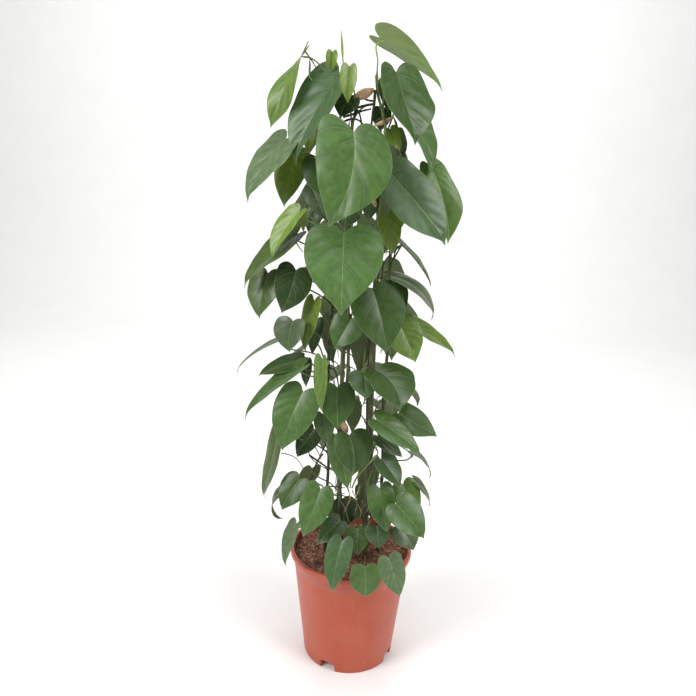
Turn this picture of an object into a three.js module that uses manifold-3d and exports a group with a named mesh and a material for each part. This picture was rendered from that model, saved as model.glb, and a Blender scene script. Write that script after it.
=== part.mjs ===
// Heart-leaf philodendron climbing a ring of canes in a plastic nursery pot
// Millimetres, +Z up, the front of the plant faces -Y, the origin is the middle of the pot's underside
import * as THREE from 'three';
import { mergeVertices } from 'three/addons/utils/BufferGeometryUtils.js';
import Module from 'manifold-3d';

const wasm = await Module();
wasm.setup();

// Pot: a tapered injection-moulded container with a collar round its mouth
const POT_HEIGHT = 234;
const POT_BASE_RADIUS = 91;
const POT_WALL_TOP_RADIUS = 116;
const POT_LIP_RADIUS = 122;
const POT_LIP_HEIGHT = 11;
const POT_WALL = 2.6;
const POT_FLOOR = 3;
const POT_CORNER = 2;
const POT_SEGMENTS = 30;
const NOTCH_WIDTH = 31;
const NOTCH_HEIGHT = 20;
const NOTCH_CORNER = 6;
const NOTCH_DEPTH = 24;
const NOTCH_AZIMUTHS = [-26, 64, 154, 244];
const NOTCH_BELOW = 5;

// Clearance between pieces that touch
const CLEARANCE = 0.3;

// Soil: its edge lies a little under the pot's mouth and its middle is heaped
const SOIL_BELOW_MOUTH = 13;
const SOIL_HEAP = 7;
const SOIL_TOP = POT_HEIGHT - SOIL_BELOW_MOUTH;

// Canes: four straight rods on a ring, tied by three hoops
const CANE_RADIUS = 4;
const CANE_RING = 40;
const CANE_TOP = 1012;
const CANE_FOOT = 40;
const CANE_SIDES = 8;
const CANE_AZIMUTHS = [45, 135, -135, -45];
const HOOP_HEIGHTS = [440, 755, 985];
const HOOP_WIDTH = 2.2;
const HOOP_TALL = 3.2;
const HOOP_SEGMENTS = 20;

// Stems: each climbs outside the hoops and leans in over the canes' ends
const STEM_RADIUS = 3.2;
const STEM_SIDES = 5;
const STEM_RING = 54;
const STEM_TOP_RING = 27;
const STEM_LEAN_FROM = 1030;
const STEM_LEAN_OVER = 90;
const STEM_ROOT_DEPTH = 45;
const STEM_STRAIGHT = 12;
const STEM_SWAY = 2.4;
const STEM_SWAY_PITCH = 47;
const STEM_WANDER = 5;
const STEM_WANDER_PITCH = 95;
const STEM_STEP = 60;
const HOLE_SIDES = 6;
const VINES = {
  left: { azimuth: -75, top: 1085, phase: 0.4 },
  front_left: { azimuth: -25, top: 1075, phase: 1.9 },
  front_right: { azimuth: 30, top: 1125, phase: 3.1 },
  right: { azimuth: 85, top: 1058, phase: 4.4 },
  back_right: { azimuth: 150, top: 1060, phase: 5.2 },
  back_left: { azimuth: -150, top: 1050, phase: 2.6 },
};

// Petioles and blades
const PETIOLE_RADIUS = 1.7;
const PETIOLE_SIDES = 3;
const PETIOLE_STEPS = 2;
const PETIOLE_RISE = 55;
const PETIOLE_END = 0.07;
const BLADE_THICKNESS = 1;
const BLADE_FOLD = 14;
const BLADE_CUP = 0.22;
const BLADE_WAVE = 0.025;

// Half of a leaf's outline: along the midrib from the petiole, and across in half widths
const HALF_OUTLINE = [
  [-0.11, 0.55],
  [0.01, 0.91],
  [0.28, 1.00],
  [0.56, 0.80],
  [0.84, 0.28],
];
const MIDRIB = [0.22, 0.48, 0.76];
const TAPER_FROM = 0.05;
const TAPER_TO = 0.85;

// The camera that took the picture: focal length and centre in pixels, place in millimetres
const VIEW = {
  focal: 700,
  centre: 348,
  pitch: 15.7,
  roll: 1.85,
  eye: new THREE.Vector3(-19, -1260, 1003),
};

// Leaves seen from the front. from is where the petiole meets the blade and to is the blade's tip:
// picture column, picture row, and millimetres in front of the plant's axis.
// face is the compass angle of the upper side: 0 front, 90 right, -90 left. lift tips it upwards.
// bend, bow, fold, twist and taper shape the midrib and the two halves.
const FRONT_LEAVES = [
  {
    vine: 'left', from: [304.5, 51, 12], to: [270, 129, 4],
    wide: 40, face: -42, lift: 6, bend: 24, fold: 12, twist: -95, taper: -1,
  },
  {
    vine: 'left', from: [339, 75, 20], to: [292, 164, 42],
    wide: 112, face: -45, lift: 12, bend: 22, fold: 28, taper: -0.1,
  },
  {
    vine: 'left', from: [286, 139, 12], to: [244.5, 202, 36],
    wide: 84, face: -46, lift: 15, bend: 18, bow: 4,
  },
  { vine: 'left', from: [295, 152, -30], to: [283, 208, -20], wide: 64, face: -16, lift: 10, bend: 15 },
  {
    vine: 'left', from: [315, 158, 15], to: [326, 200.5, 25],
    wide: 50, face: -10, lift: 20, bend: 25, bow: 3,
  },
  { vine: 'left', from: [312, 188, 5], to: [327, 222, 15], wide: 40, face: -15, lift: 25, bend: 20 },
  {
    vine: 'left', from: [299.5, 212, 60], to: [271, 262.5, 68],
    wide: 58, face: -50, lift: 10, bend: 20, bow: 6, fold: 30,
  },
  { vine: 'left', from: [304, 211, 40], to: [303.5, 233, 50], wide: 18, face: -30, lift: 10, bend: 10 },
  {
    vine: 'left', from: [297, 234, 36], to: [240.5, 288, 44],
    wide: 84, face: -64, lift: 20, bend: 22, fold: 20,
  },
  { vine: 'left', from: [268, 273, 18], to: [258, 319, 40], wide: 76, face: -32, lift: 15, bend: 20 },
  {
    vine: 'left', from: [296, 270, 45], to: [281, 314, 62],
    wide: 68, face: 6, lift: 20, bend: 25, bow: -3,
  },
  {
    vine: 'left', from: [293, 321, 50], to: [289, 353, 58],
    wide: 70, face: -30, lift: 10, bend: 20, bow: 3, fold: 20,
  },
  { vine: 'left', from: [282, 338, 30], to: [233.5, 374.5, 25], wide: 36, face: -88, lift: 42, bend: 36 },
  { vine: 'left', from: [314, 301, 40], to: [304, 354, 52], wide: 50, face: -48, lift: 8, bend: 15 },
  { vine: 'left', from: [300, 360, 32], to: [256, 376, 28], wide: 52, face: -62, lift: 40, bend: 22 },
  {
    vine: 'left', from: [302, 367, 58], to: [240.5, 421, 66],
    wide: 60, face: -72, lift: 30, bend: 20, bow: 3, fold: 24,
  },
  {
    vine: 'left', from: [322.5, 360, 92], to: [321, 414, 98],
    wide: 38, face: -40, lift: 5, bend: 10, bow: -2, fold: 28,
  },
  {
    vine: 'left', from: [303, 391.5, 75], to: [281, 452, 98],
    wide: 82, face: -10, lift: 15, bend: 22, bow: 3,
  },
  {
    vine: 'left', from: [277.5, 433, 55], to: [261.5, 500, 60],
    wide: 56, face: -60, lift: 5, bend: 15, bow: -10, fold: 14,
  },
  { vine: 'left', from: [314, 429, 32], to: [296, 458, 36], wide: 46, face: -20, lift: 10, bend: 15 },
  {
    vine: 'left', from: [300, 479, 82], to: [281, 511, 98],
    wide: 56, face: -26, lift: 18, bend: 18, bow: 2,
  },
  {
    vine: 'left', from: [320.5, 489, 102], to: [302, 538, 126],
    wide: 63, face: -12, lift: 15, bend: 18, bow: -2,
  },
  { vine: 'left', from: [282, 490, 58], to: [283, 520, 52], wide: 42, face: -84, lift: 20, bend: 120 },
  {
    vine: 'left', from: [296.5, 524, 84], to: [284.5, 568, 112],
    wide: 46, face: -54, lift: 12, bend: 16, bow: 2, fold: 26,
  },
  {
    vine: 'left', from: [332.5, 52, 18], to: [331, 72, 16],
    wide: 28, face: -6, lift: 0, bend: 10, fold: 44,
  },
  {
    vine: 'front_left', from: [349.5, 67.5, 74], to: [347.5, 104, 76],
    wide: 38, face: -4, lift: 0, bend: 15, fold: 42,
  },
  { vine: 'front_left', from: [349, 96, 40], to: [340, 118, 46], wide: 48, face: -20, lift: 10, bend: 15 },
  {
    vine: 'front_left', from: [353.5, 132, 92], to: [326.5, 228, 116],
    wide: 130, face: -8, lift: 12, bend: 20, bow: -18,
  },
  { vine: 'front_left', from: [348, 205, 46], to: [344, 229, 54], wide: 54, face: 5, lift: 15, bend: 15 },
  { vine: 'front_left', from: [344, 233, 76], to: [341, 316, 140], wide: 138, face: 0, lift: 28, bend: 24 },
  { vine: 'front_left', from: [352, 318, 50], to: [334, 350, 64], wide: 62, face: -12, lift: 20, bend: 20 },
  { vine: 'front_left', from: [337, 387, 62], to: [337.5, 430, 88], wide: 70, face: 0, lift: 15, bend: 20 },
  { vine: 'front_left', from: [323, 414, 62], to: [328, 445, 72], wide: 40, face: -10, lift: 15, bend: 15 },
  { vine: 'front_left', from: [339, 440, 78], to: [348, 491, 98], wide: 50, face: -10, lift: 15, bend: 18 },
  {
    vine: 'front_left', from: [349.5, 435, 76], to: [353.5, 477, 94],
    wide: 92, face: 38, lift: 15, bend: 18, bow: -3, fold: 22,
  },
  { vine: 'front_left', from: [346, 502, 40], to: [341, 531, 50], wide: 50, face: -8, lift: 15, bend: 15 },
  {
    vine: 'front_left', from: [340, 521, 78], to: [316.5, 545, 104],
    wide: 44, face: -20, lift: 25, bend: 20,
  },
  {
    vine: 'front_left', from: [342, 541, 108], to: [332, 594, 140],
    wide: 50, face: -8, lift: 25, bend: 24, bow: 2,
  },
  {
    vine: 'front_right', from: [379.5, 37.5, -24], to: [446, 92, -22],
    wide: 69, face: 150, lift: 44, bend: 14, bow: 4, fold: 34, taper: 0.45,
  },
  { vine: 'front_right', from: [384, 81, 20], to: [388, 113, 24], wide: 26, face: 20, lift: 5, bend: 12 },
  {
    vine: 'front_right', from: [402, 104, 2], to: [432, 178, 22],
    wide: 94, face: 56, lift: 12, bend: 20, bow: -9, fold: 22,
  },
  { vine: 'front_right', from: [390, 129, 22], to: [400, 151, 26], wide: 30, face: 15, lift: 5, bend: 10 },
  {
    vine: 'front_right', from: [387, 215, 34], to: [392, 256, 38],
    wide: 50, face: 26, lift: 8, bend: 15, fold: 22,
  },
  {
    vine: 'front_right', from: [373, 290, 66], to: [386.5, 355, 96],
    wide: 98, face: 8, lift: 15, bend: 20, bow: -3,
  },
  { vine: 'right', from: [393, 284, 26], to: [400, 321, 40], wide: 50, face: 15, lift: 15, bend: 15 },
  {
    vine: 'front_right', from: [379, 371.5, 68], to: [401, 412, 98],
    wide: 112, face: 48, lift: 22, bend: 22, bow: -12, fold: 20, taper: -0.25,
  },
  { vine: 'front_right', from: [364, 373, 76], to: [366, 400, 106], wide: 58, face: 4, lift: 35, bend: 25 },
  {
    vine: 'front_right', from: [376.5, 419.5, 86], to: [422.5, 454, 100],
    wide: 50, face: 36, lift: 30, bend: 16, fold: 18,
  },
  {
    vine: 'front_right', from: [378, 436, 52], to: [403.5, 458, 54],
    wide: 34, face: 26, lift: 25, bend: 12, fold: 18,
  },
  {
    vine: 'front_right', from: [381, 459, 56], to: [401, 488, 72],
    wide: 63, face: 52, lift: 20, bend: 18, fold: 20,
  },
  {
    vine: 'front_right', from: [379.5, 488, 72], to: [387.5, 534, 92],
    wide: 56, face: 14, lift: 18, bend: 20, bow: 2,
  },
  {
    vine: 'front_right', from: [357, 529, 86], to: [357.5, 556, 106],
    wide: 48, face: 0, lift: 25, bend: 20,
  },
  {
    vine: 'front_right', from: [376, 526, 82], to: [379, 549, 102],
    wide: 50, face: 10, lift: 35, bend: 35,
  },
  {
    vine: 'front_right', from: [365, 567, 130], to: [365.5, 598, 142],
    wide: 56, face: 2, lift: 20, bend: 25, taper: -0.25,
  },
  {
    vine: 'front_right', from: [389, 558, 118], to: [400.5, 598, 140],
    wide: 52, face: 14, lift: 15, bend: 18, bow: 1,
  },
  {
    vine: 'front_right', from: [396, 72, 58], to: [418, 144.5, 88],
    wide: 102, face: 42, lift: 8, bend: 16, bow: 5, taper: -0.55, fold: 24,
  },
  {
    vine: 'right', from: [392, 174.5, 50], to: [448.5, 245, 60],
    wide: 86, face: 27, lift: 12, bend: 18, bow: 1, fold: 18, twist: -20, taper: -0.4,
  },
  {
    vine: 'right', from: [432, 168, 2], to: [449.5, 244, 22],
    wide: 52, face: 14, lift: 10, bend: 18, bow: -5, taper: -0.85,
  },
  { vine: 'right', from: [397, 131, -14], to: [404.5, 158, -12], wide: 34, face: 40, lift: 10, bend: 12 },
  {
    vine: 'right', from: [399.5, 243, 8], to: [433, 289, 8],
    wide: 54, face: 84, lift: 36, bend: 24, fold: 24,
  },
  {
    vine: 'right', from: [392, 276, 44], to: [434, 321.5, 40],
    wide: 52, face: 72, lift: 44, bend: 80, bow: 3, taper: -0.8,
  },
  {
    vine: 'right', from: [405, 320, 24], to: [458.5, 357, 24],
    wide: 61, face: 66, lift: 44, bend: 18, fold: 20,
  },
  {
    vine: 'right', from: [399, 322, 48], to: [416.5, 363, 62],
    wide: 64, face: 8, lift: 15, bend: 16, taper: -0.1,
  },
  {
    vine: 'right', from: [399, 413, 50], to: [438.5, 436.5, 70],
    wide: 60, face: 26, lift: 32, bend: 22, bow: 3,
  },
  { vine: 'right', from: [411.5, 451, 38], to: [430.2, 480, 38], wide: 42, face: 92, lift: 40, bend: 72 },
  {
    vine: 'front_right', from: [396, 504, 108], to: [425.5, 539, 126],
    wide: 72, face: 34, lift: 20, bend: 18, fold: 20,
  },
  { vine: 'right', from: [403, 484, 50], to: [416, 521, 66], wide: 56, face: 14, lift: 15, bend: 16 },
  { vine: 'right', from: [415, 480.5, 34], to: [429.5, 508, 34], wide: 44, face: 84, lift: 36, bend: 56 },
  { vine: 'right', from: [402, 526, 66], to: [414, 551, 84], wide: 56, face: 20, lift: 15, bend: 20 },
  {
    vine: 'back_left', from: [338, 502, -72], to: [333, 523, -86],
    wide: 56, face: -165, lift: 10, bend: 15,
  },
  {
    vine: 'back_right', from: [367, 488, -68], to: [372, 520, -86],
    wide: 60, face: 165, lift: 10, bend: 15,
  },
  {
    vine: 'back_left', from: [331, 316, -48], to: [333, 366, -56],
    wide: 42, face: -150, lift: 12, bend: 18,
  },
  {
    vine: 'back_right', from: [362, 326, -50], to: [358, 376, -62],
    wide: 50, face: 160, lift: 12, bend: 18,
  },
  { vine: 'left', from: [307, 360, 10], to: [306, 388, 14], wide: 26, face: -30, lift: 12, bend: 18 },
  {
    vine: 'back_right', from: [353, 402, -50], to: [352, 434, -60],
    wide: 38, face: 170, lift: 12, bend: 18,
  },
  {
    vine: 'back_left', from: [312, 468, -56], to: [303, 496, -66],
    wide: 50, face: -150, lift: 12, bend: 18,
  },
  {
    vine: 'back_right', from: [371, 460, -56], to: [361, 512, -68],
    wide: 46, face: 170, lift: 12, bend: 18,
  },
  {
    vine: 'back_right', from: [356, 500, -66], to: [352, 523, -76],
    wide: 60, face: 175, lift: 12, bend: 18,
  },
  {
    vine: 'back_right', from: [385, 505, -60], to: [391, 524, -60],
    wide: 50, face: 150, lift: 12, bend: 18,
  },
  { vine: 'front_right', from: [382, 109, 20], to: [380, 132, 24], wide: 36, face: 10, lift: 12, bend: 14 },
  { vine: 'left', from: [313, 118, -20], to: [309, 156, -20], wide: 40, face: -20, lift: 12, bend: 16 },
  { vine: 'left', from: [317, 203, -8], to: [309, 236, -4], wide: 40, face: -20, lift: 12, bend: 16 },
  { vine: 'front_right', from: [371, 194, 40], to: [368, 222, 44], wide: 34, face: 10, lift: 12, bend: 16 },
  { vine: 'left', from: [317, 320, -6], to: [312, 356, 0], wide: 32, face: -20, lift: 12, bend: 16 },
];

// Leaves that the picture doesn't show, by a rule: each run of leaves turns about its own azimuth.
// first and last are the heights of the run's ends, and each pair goes from the first to the last.
const FAR_SEED = 20117;
const FAR_RUNS = [
  { vine: 'back_right', azimuth: 157, spread: 8, reach: 90, first: 300, last: 1020, count: 11 },
  { vine: 'back_left', azimuth: -159, spread: 8, reach: 90, first: 300, last: 1020, count: 11 },
  { vine: 'left', azimuth: -112, spread: 3, reach: 90, first: 516, last: 948, count: 4 },
  { vine: 'right', azimuth: 120, spread: 3, reach: 88, first: 444, last: 732, count: 3 },
  { vine: 'right', azimuth: 102, spread: 12, reach: 66, first: 560, last: 1000, count: 3 },
];
const FAR_LENGTHS = [72, 118];
const FAR_SLOPES = [48, 22];
const CLOSE_REACH = 70;
const CLOSE_LENGTHS = [66, 84];
const CLOSE_SLOPES = [10, 6];
const FAR_HEIGHT_VARIES = 10;
const FAR_REACH_VARIES = 5;
const FAR_SLOPE_VARIES = 5;
const FAR_LENGTH_VARIES = 0.2;
const FAR_WIDTH_TO_LENGTH = 0.74;
const FAR_BEND = 22;
const FAR_LIFT = 15;

// Rolled new leaves at the top: from the middle of the roll's foot to its point
const SPEARS = [
  { vine: 'left', from: [343, 60, 26], to: [341, 28, 26], radius: 2.2 },
  { vine: 'left', from: [309.5, 77, 8], to: [310, 57, 8], radius: 1.9 },
];
const SPEAR_SIDES = 5;

const UP = new THREE.Vector3(0, 0, 1);

function radians(degrees) {
  return THREE.MathUtils.degToRad(degrees);
}

// A point at a compass azimuth, a distance from the plant's axis and a height
function around(azimuth, reach, height) {
  const angle = radians(azimuth);
  return new THREE.Vector3(reach * Math.sin(angle), -reach * Math.cos(angle), height);
}

// A closed mesh with shared corners, as a solid for joining and cutting
function toSolid(geometry) {
  const bare = geometry.clone();
  bare.deleteAttribute('normal');
  bare.deleteAttribute('uv');
  const merged = mergeVertices(bare, 1e-4);
  const corners = merged.index.array;
  const kept = [];
  for (let at = 0; at < corners.length; at += 3) {
    const [a, b, c] = [corners[at], corners[at + 1], corners[at + 2]];
    if (a !== b && b !== c && c !== a) kept.push(a, b, c);
  }
  return new wasm.Manifold(new wasm.Mesh({
    numProp: 3,
    vertProperties: new Float32Array(merged.attributes.position.array),
    triVerts: new Uint32Array(kept),
  }));
}

// The outer body of a joined solid, without loose scraps or hollows sealed inside it
function largestBody(solid) {
  return solid.decompose().sort((one, other) => other.volume() - one.volume())[0];
}

function toGeometry(solid) {
  const mesh = solid.getMesh();
  const geometry = new THREE.BufferGeometry();
  geometry.setAttribute('position', new THREE.BufferAttribute(mesh.vertProperties, 3));
  geometry.setIndex(new THREE.BufferAttribute(mesh.triVerts, 1));
  geometry.computeVertexNormals();
  return geometry;
}

// A turned solid about the Z axis from a profile of [radius, height] that starts and ends on the axis
function turned(profile, segments) {
  const points = profile.map(([radius, height]) => new THREE.Vector2(radius, height));
  const geometry = new THREE.LatheGeometry(points, segments);
  geometry.rotateX(Math.PI / 2);
  return toSolid(geometry);
}

// A round bar with flat ends, upright between two heights
function upright(place, radius, foot, top, sides) {
  const geometry = new THREE.CylinderGeometry(radius, radius, top - foot, sides);
  geometry.rotateX(Math.PI / 2);
  geometry.translate(place.x, place.y, (foot + top) / 2);
  return toSolid(geometry);
}

// A bar with a regular section carried along a smooth curve through points
function swept(points, radius, sides, steps) {
  const section = new THREE.Shape();
  for (let side = 0; side < sides; side += 1) {
    const angle = (2 * Math.PI * side) / sides;
    const corner = [radius * Math.cos(angle), radius * Math.sin(angle)];
    if (side === 0) section.moveTo(...corner);
    else section.lineTo(...corner);
  }
  const path = new THREE.CatmullRomCurve3(points, false, 'centripetal');
  return toSolid(new THREE.ExtrudeGeometry(section, { steps, extrudePath: path, bevelEnabled: false }));
}

// The inner face of the pot's wall at a height
function potBore(height) {
  const slope = (POT_WALL_TOP_RADIUS - POT_BASE_RADIUS) / (POT_HEIGHT - POT_LIP_HEIGHT);
  return POT_BASE_RADIUS - POT_WALL + slope * height;
}

function makePot() {
  const lipFoot = POT_HEIGHT - POT_LIP_HEIGHT;
  const round = POT_CORNER;
  let pot = turned([
    [0, 0],
    [POT_BASE_RADIUS - round, 0],
    [POT_BASE_RADIUS, round],
    [POT_WALL_TOP_RADIUS, lipFoot],
    [POT_LIP_RADIUS - round, lipFoot],
    [POT_LIP_RADIUS, lipFoot + round],
    [POT_LIP_RADIUS, POT_HEIGHT - round],
    [POT_LIP_RADIUS - round, POT_HEIGHT],
    [potBore(POT_HEIGHT) + round, POT_HEIGHT],
    [potBore(POT_HEIGHT - round), POT_HEIGHT - round],
    [potBore(POT_FLOOR), POT_FLOOR],
    [0, POT_FLOOR],
  ], POT_SEGMENTS);
  const middleOfWall = turned([
    [0, 0],
    [POT_BASE_RADIUS - POT_WALL / 2, 0],
    [potBore(lipFoot) + POT_WALL / 2, lipFoot],
    [0, lipFoot],
  ], POT_SEGMENTS);
  for (const azimuth of NOTCH_AZIMUTHS) {
    pot = pot.add(notchBlock(azimuth, POT_WALL, 0).intersect(middleOfWall));
  }
  for (const azimuth of NOTCH_AZIMUTHS) {
    pot = pot.subtract(notchBlock(azimuth, 0, NOTCH_BELOW));
  }
  return pot;
}

// The round-topped recess of a drain notch, grown all round and lengthened below the pot
function notchBlock(azimuth, grow, below) {
  const half = NOTCH_WIDTH / 2 + grow;
  const high = NOTCH_HEIGHT + grow;
  const corner = NOTCH_CORNER + grow;
  const shape = new THREE.Shape();
  shape.moveTo(-half, -below);
  shape.lineTo(half, -below);
  shape.lineTo(half, high - corner);
  shape.absarc(half - corner, high - corner, corner, 0, Math.PI / 2, false);
  shape.absarc(corner - half, high - corner, corner, Math.PI / 2, Math.PI, false);
  shape.lineTo(-half, -below);
  const inner = POT_BASE_RADIUS - NOTCH_DEPTH - grow;
  const outer = POT_BASE_RADIUS + NOTCH_DEPTH;
  const options = { depth: outer - inner, bevelEnabled: false, curveSegments: 1 };
  const geometry = new THREE.ExtrudeGeometry(shape, options);
  geometry.rotateX(Math.PI / 2);
  geometry.translate(0, -inner, 0);
  geometry.rotateZ(radians(azimuth));
  return toSolid(geometry);
}

function makeSoil() {
  const foot = POT_FLOOR + CLEARANCE;
  let soil = turned([
    [0, foot],
    [potBore(foot) - CLEARANCE, foot],
    [potBore(SOIL_TOP) - CLEARANCE, SOIL_TOP],
    [STEM_RING + 26, SOIL_TOP + SOIL_HEAP * 0.6],
    [STEM_RING - 20, SOIL_TOP + SOIL_HEAP],
    [0, SOIL_TOP + SOIL_HEAP],
  ], POT_SEGMENTS);
  for (const azimuth of NOTCH_AZIMUTHS) {
    soil = soil.subtract(notchBlock(azimuth, POT_WALL + CLEARANCE, NOTCH_BELOW));
  }
  const over = SOIL_TOP + SOIL_HEAP * 2;
  const widen = 1 / Math.cos(Math.PI / HOLE_SIDES);
  for (const azimuth of CANE_AZIMUTHS) {
    const radius = (CANE_RADIUS + CLEARANCE) * widen;
    const foot = CANE_FOOT - CLEARANCE;
    soil = soil.subtract(upright(around(azimuth, CANE_RING, 0), radius, foot, over, HOLE_SIDES));
  }
  for (const vine of Object.values(VINES)) {
    const radius = (STEM_RADIUS + CLEARANCE) * widen;
    const foot = SOIL_TOP - STEM_ROOT_DEPTH - CLEARANCE;
    soil = soil.subtract(upright(around(vine.azimuth, STEM_RING, 0), radius, foot, over, HOLE_SIDES));
  }
  return soil;
}

function makeCane(azimuth) {
  return upright(around(azimuth, CANE_RING, 0), CANE_RADIUS, CANE_FOOT, CANE_TOP, CANE_SIDES);
}

function makeHoop(height) {
  const inner = (CANE_RING + CANE_RADIUS + CLEARANCE) / Math.cos(Math.PI / HOOP_SEGMENTS);
  const outer = inner + HOOP_WIDTH;
  const low = height - HOOP_TALL / 2;
  const high = height + HOOP_TALL / 2;
  return turned([[outer, low], [outer, high], [inner, high], [inner, low], [outer, low]], HOOP_SEGMENTS);
}

// The middle of a vine's stem at a height: upright in the soil, then swaying up the canes
function stemPoint(vine, height) {
  const risen = Math.max(0, height - SOIL_TOP - SOIL_HEAP - STEM_STRAIGHT);
  const ease = Math.min(1, risen / STEM_STEP);
  const lean = THREE.MathUtils.smoothstep(height, STEM_LEAN_FROM, STEM_LEAN_FROM + STEM_LEAN_OVER);
  const sway = STEM_SWAY * Math.sin(risen / STEM_SWAY_PITCH + vine.phase) * ease;
  const wander = STEM_WANDER * Math.sin(risen / STEM_WANDER_PITCH + vine.phase * 2) * ease;
  const ring = THREE.MathUtils.lerp(STEM_RING + sway, STEM_TOP_RING, lean);
  return around(vine.azimuth + wander, ring, height);
}

function makeStem(vine) {
  const foot = SOIL_TOP - STEM_ROOT_DEPTH;
  const ground = SOIL_TOP + SOIL_HEAP;
  const points = [stemPoint(vine, foot), stemPoint(vine, ground), stemPoint(vine, ground + STEM_STRAIGHT)];
  const bends = Math.round((vine.top - ground - STEM_STRAIGHT) / STEM_STEP);
  for (let bend = 1; bend <= bends; bend += 1) {
    const height = ground + STEM_STRAIGHT + ((vine.top - ground - STEM_STRAIGHT) * bend) / bends;
    points.push(stemPoint(vine, height));
  }
  return swept(points, STEM_RADIUS, STEM_SIDES, bends + 4);
}

// Where the sight line through a picture point is a distance in front of the plant's axis
function sightPoint([column, row, near]) {
  const roll = radians(VIEW.roll);
  const pitch = radians(VIEW.pitch);
  const across = column - VIEW.centre;
  const down = row - VIEW.centre;
  const right = (across * Math.cos(roll) + down * Math.sin(roll)) / VIEW.focal;
  const rise = (across * Math.sin(roll) - down * Math.cos(roll)) / VIEW.focal;
  const sight = new THREE.Vector3(
    right,
    Math.cos(pitch) + rise * Math.sin(pitch),
    rise * Math.cos(pitch) - Math.sin(pitch),
  );
  const reach = (-near - VIEW.eye.y) / sight.y;
  return VIEW.eye.clone().addScaledVector(sight, reach);
}

// A leaf's frame: joint and tip, the direction along, the upper side's normal and the side direction
function leafFrame(joint, tip, face, lift) {
  const along = tip.clone().sub(joint);
  const chord = along.length();
  along.normalize();
  const facing = around(face, Math.cos(radians(lift)), Math.sin(radians(lift)));
  const normal = facing.addScaledVector(along, -facing.dot(along)).normalize();
  const side = along.clone().cross(normal);
  return { joint, chord, along, normal, side };
}

// A point of the blade's middle surface. The midrib is an arc that turns through bend degrees and
// may bow sideways, the halves rise from it at the fold and sink again towards the waved margin,
// the twist turns the blade about its midrib from joint to tip, and the taper draws the tip out.
function bladePoint(frame, leaf, run, across) {
  const turn = radians(leaf.bend);
  const arc = (frame.chord * turn) / 2 / Math.sin(turn / 2);
  const heading = turn / 2 - turn * run;
  const ahead = (arc / turn) * (Math.sin(turn / 2) - Math.sin(heading));
  const above = (arc / turn) * (Math.cos(heading) - Math.cos(turn / 2));
  const slim = 1 - (leaf.taper ?? 0) * THREE.MathUtils.smoothstep(run, TAPER_FROM, TAPER_TO);
  const half = (slim * leaf.wide) / 2;
  const fold = radians(leaf.fold ?? BLADE_FOLD);
  const wave = BLADE_WAVE * Math.sin(4 * Math.PI * run + leaf.wide + across);
  const rise = half * (Math.abs(across) * Math.sin(fold) + across ** 2 * (wave - BLADE_CUP));
  const flat = half * across * Math.cos(fold);
  const roll = radians(leaf.twist ?? 0) * (run - 0.5);
  const up = frame.normal.clone().multiplyScalar(Math.cos(heading));
  up.addScaledVector(frame.along, -Math.sin(heading));
  const point = frame.joint.clone().addScaledVector(frame.along, ahead).addScaledVector(frame.normal, above);
  const bow = 4 * (leaf.bow ?? 0) * run * (1 - run);
  point.addScaledVector(frame.side, bow + flat * Math.cos(roll) + rise * Math.sin(roll));
  point.addScaledVector(up, rise * Math.cos(roll) - flat * Math.sin(roll));
  const normal = up.multiplyScalar(Math.cos(roll)).addScaledVector(frame.side, Math.sin(roll));
  return { point, normal };
}

// One blade as a closed thin solid whose two faces are split into the same triangles
function makeBlade(frame, leaf) {
  const places = [[0, 0], ...MIDRIB.map((run) => [run, 0]), [1, 0]];
  const tip = MIDRIB.length + 1;
  const rightStart = places.length;
  places.push(...HALF_OUTLINE);
  const leftStart = places.length;
  places.push(...HALF_OUTLINE.map(([run, across]) => [run, -across]));
  const faces = [];
  for (const [start, mirrored] of [[rightStart, false], [leftStart, true]]) {
    const half = [[0, start, start + 1], [0, start + 1, start + 2], [0, start + 2, 1]];
    for (let rib = 1; rib < tip - 1; rib += 1) {
      const edge = start + 1 + rib;
      half.push([rib, edge, edge + 1], [rib, edge + 1, rib + 1]);
    }
    const last = tip - 1;
    const end = start + HALF_OUTLINE.length - 1;
    for (let edge = start + tip; edge < end; edge += 1) half.push([last, edge, edge + 1]);
    half.push([last, end, tip]);
    faces.push(...half.map(([a, b, c]) => (mirrored ? [a, c, b] : [a, b, c])));
  }
  const outline = [0];
  for (let at = 0; at < HALF_OUTLINE.length; at += 1) outline.push(rightStart + at);
  outline.push(tip);
  for (let at = HALF_OUTLINE.length - 1; at >= 0; at -= 1) outline.push(leftStart + at);
  return thinSolid(frame, leaf, places, faces, outline);
}

function thinSolid(frame, leaf, places, faces, outline) {
  const corners = [];
  for (const layer of [0.5, -0.5]) {
    for (const [run, across] of places) {
      const { point, normal } = bladePoint(frame, leaf, run, across);
      corners.push(...point.addScaledVector(normal, layer * BLADE_THICKNESS).toArray());
    }
  }
  const under = places.length;
  const index = faces.flat();
  for (const [a, b, c] of faces) index.push(under + a, under + c, under + b);
  outline.forEach((start, at) => {
    const end = outline[(at + 1) % outline.length];
    index.push(start, under + start, under + end, start, under + end, end);
  });
  const geometry = new THREE.BufferGeometry();
  geometry.setAttribute('position', new THREE.Float32BufferAttribute(corners, 3));
  geometry.setIndex(index);
  return toSolid(geometry);
}

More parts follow.
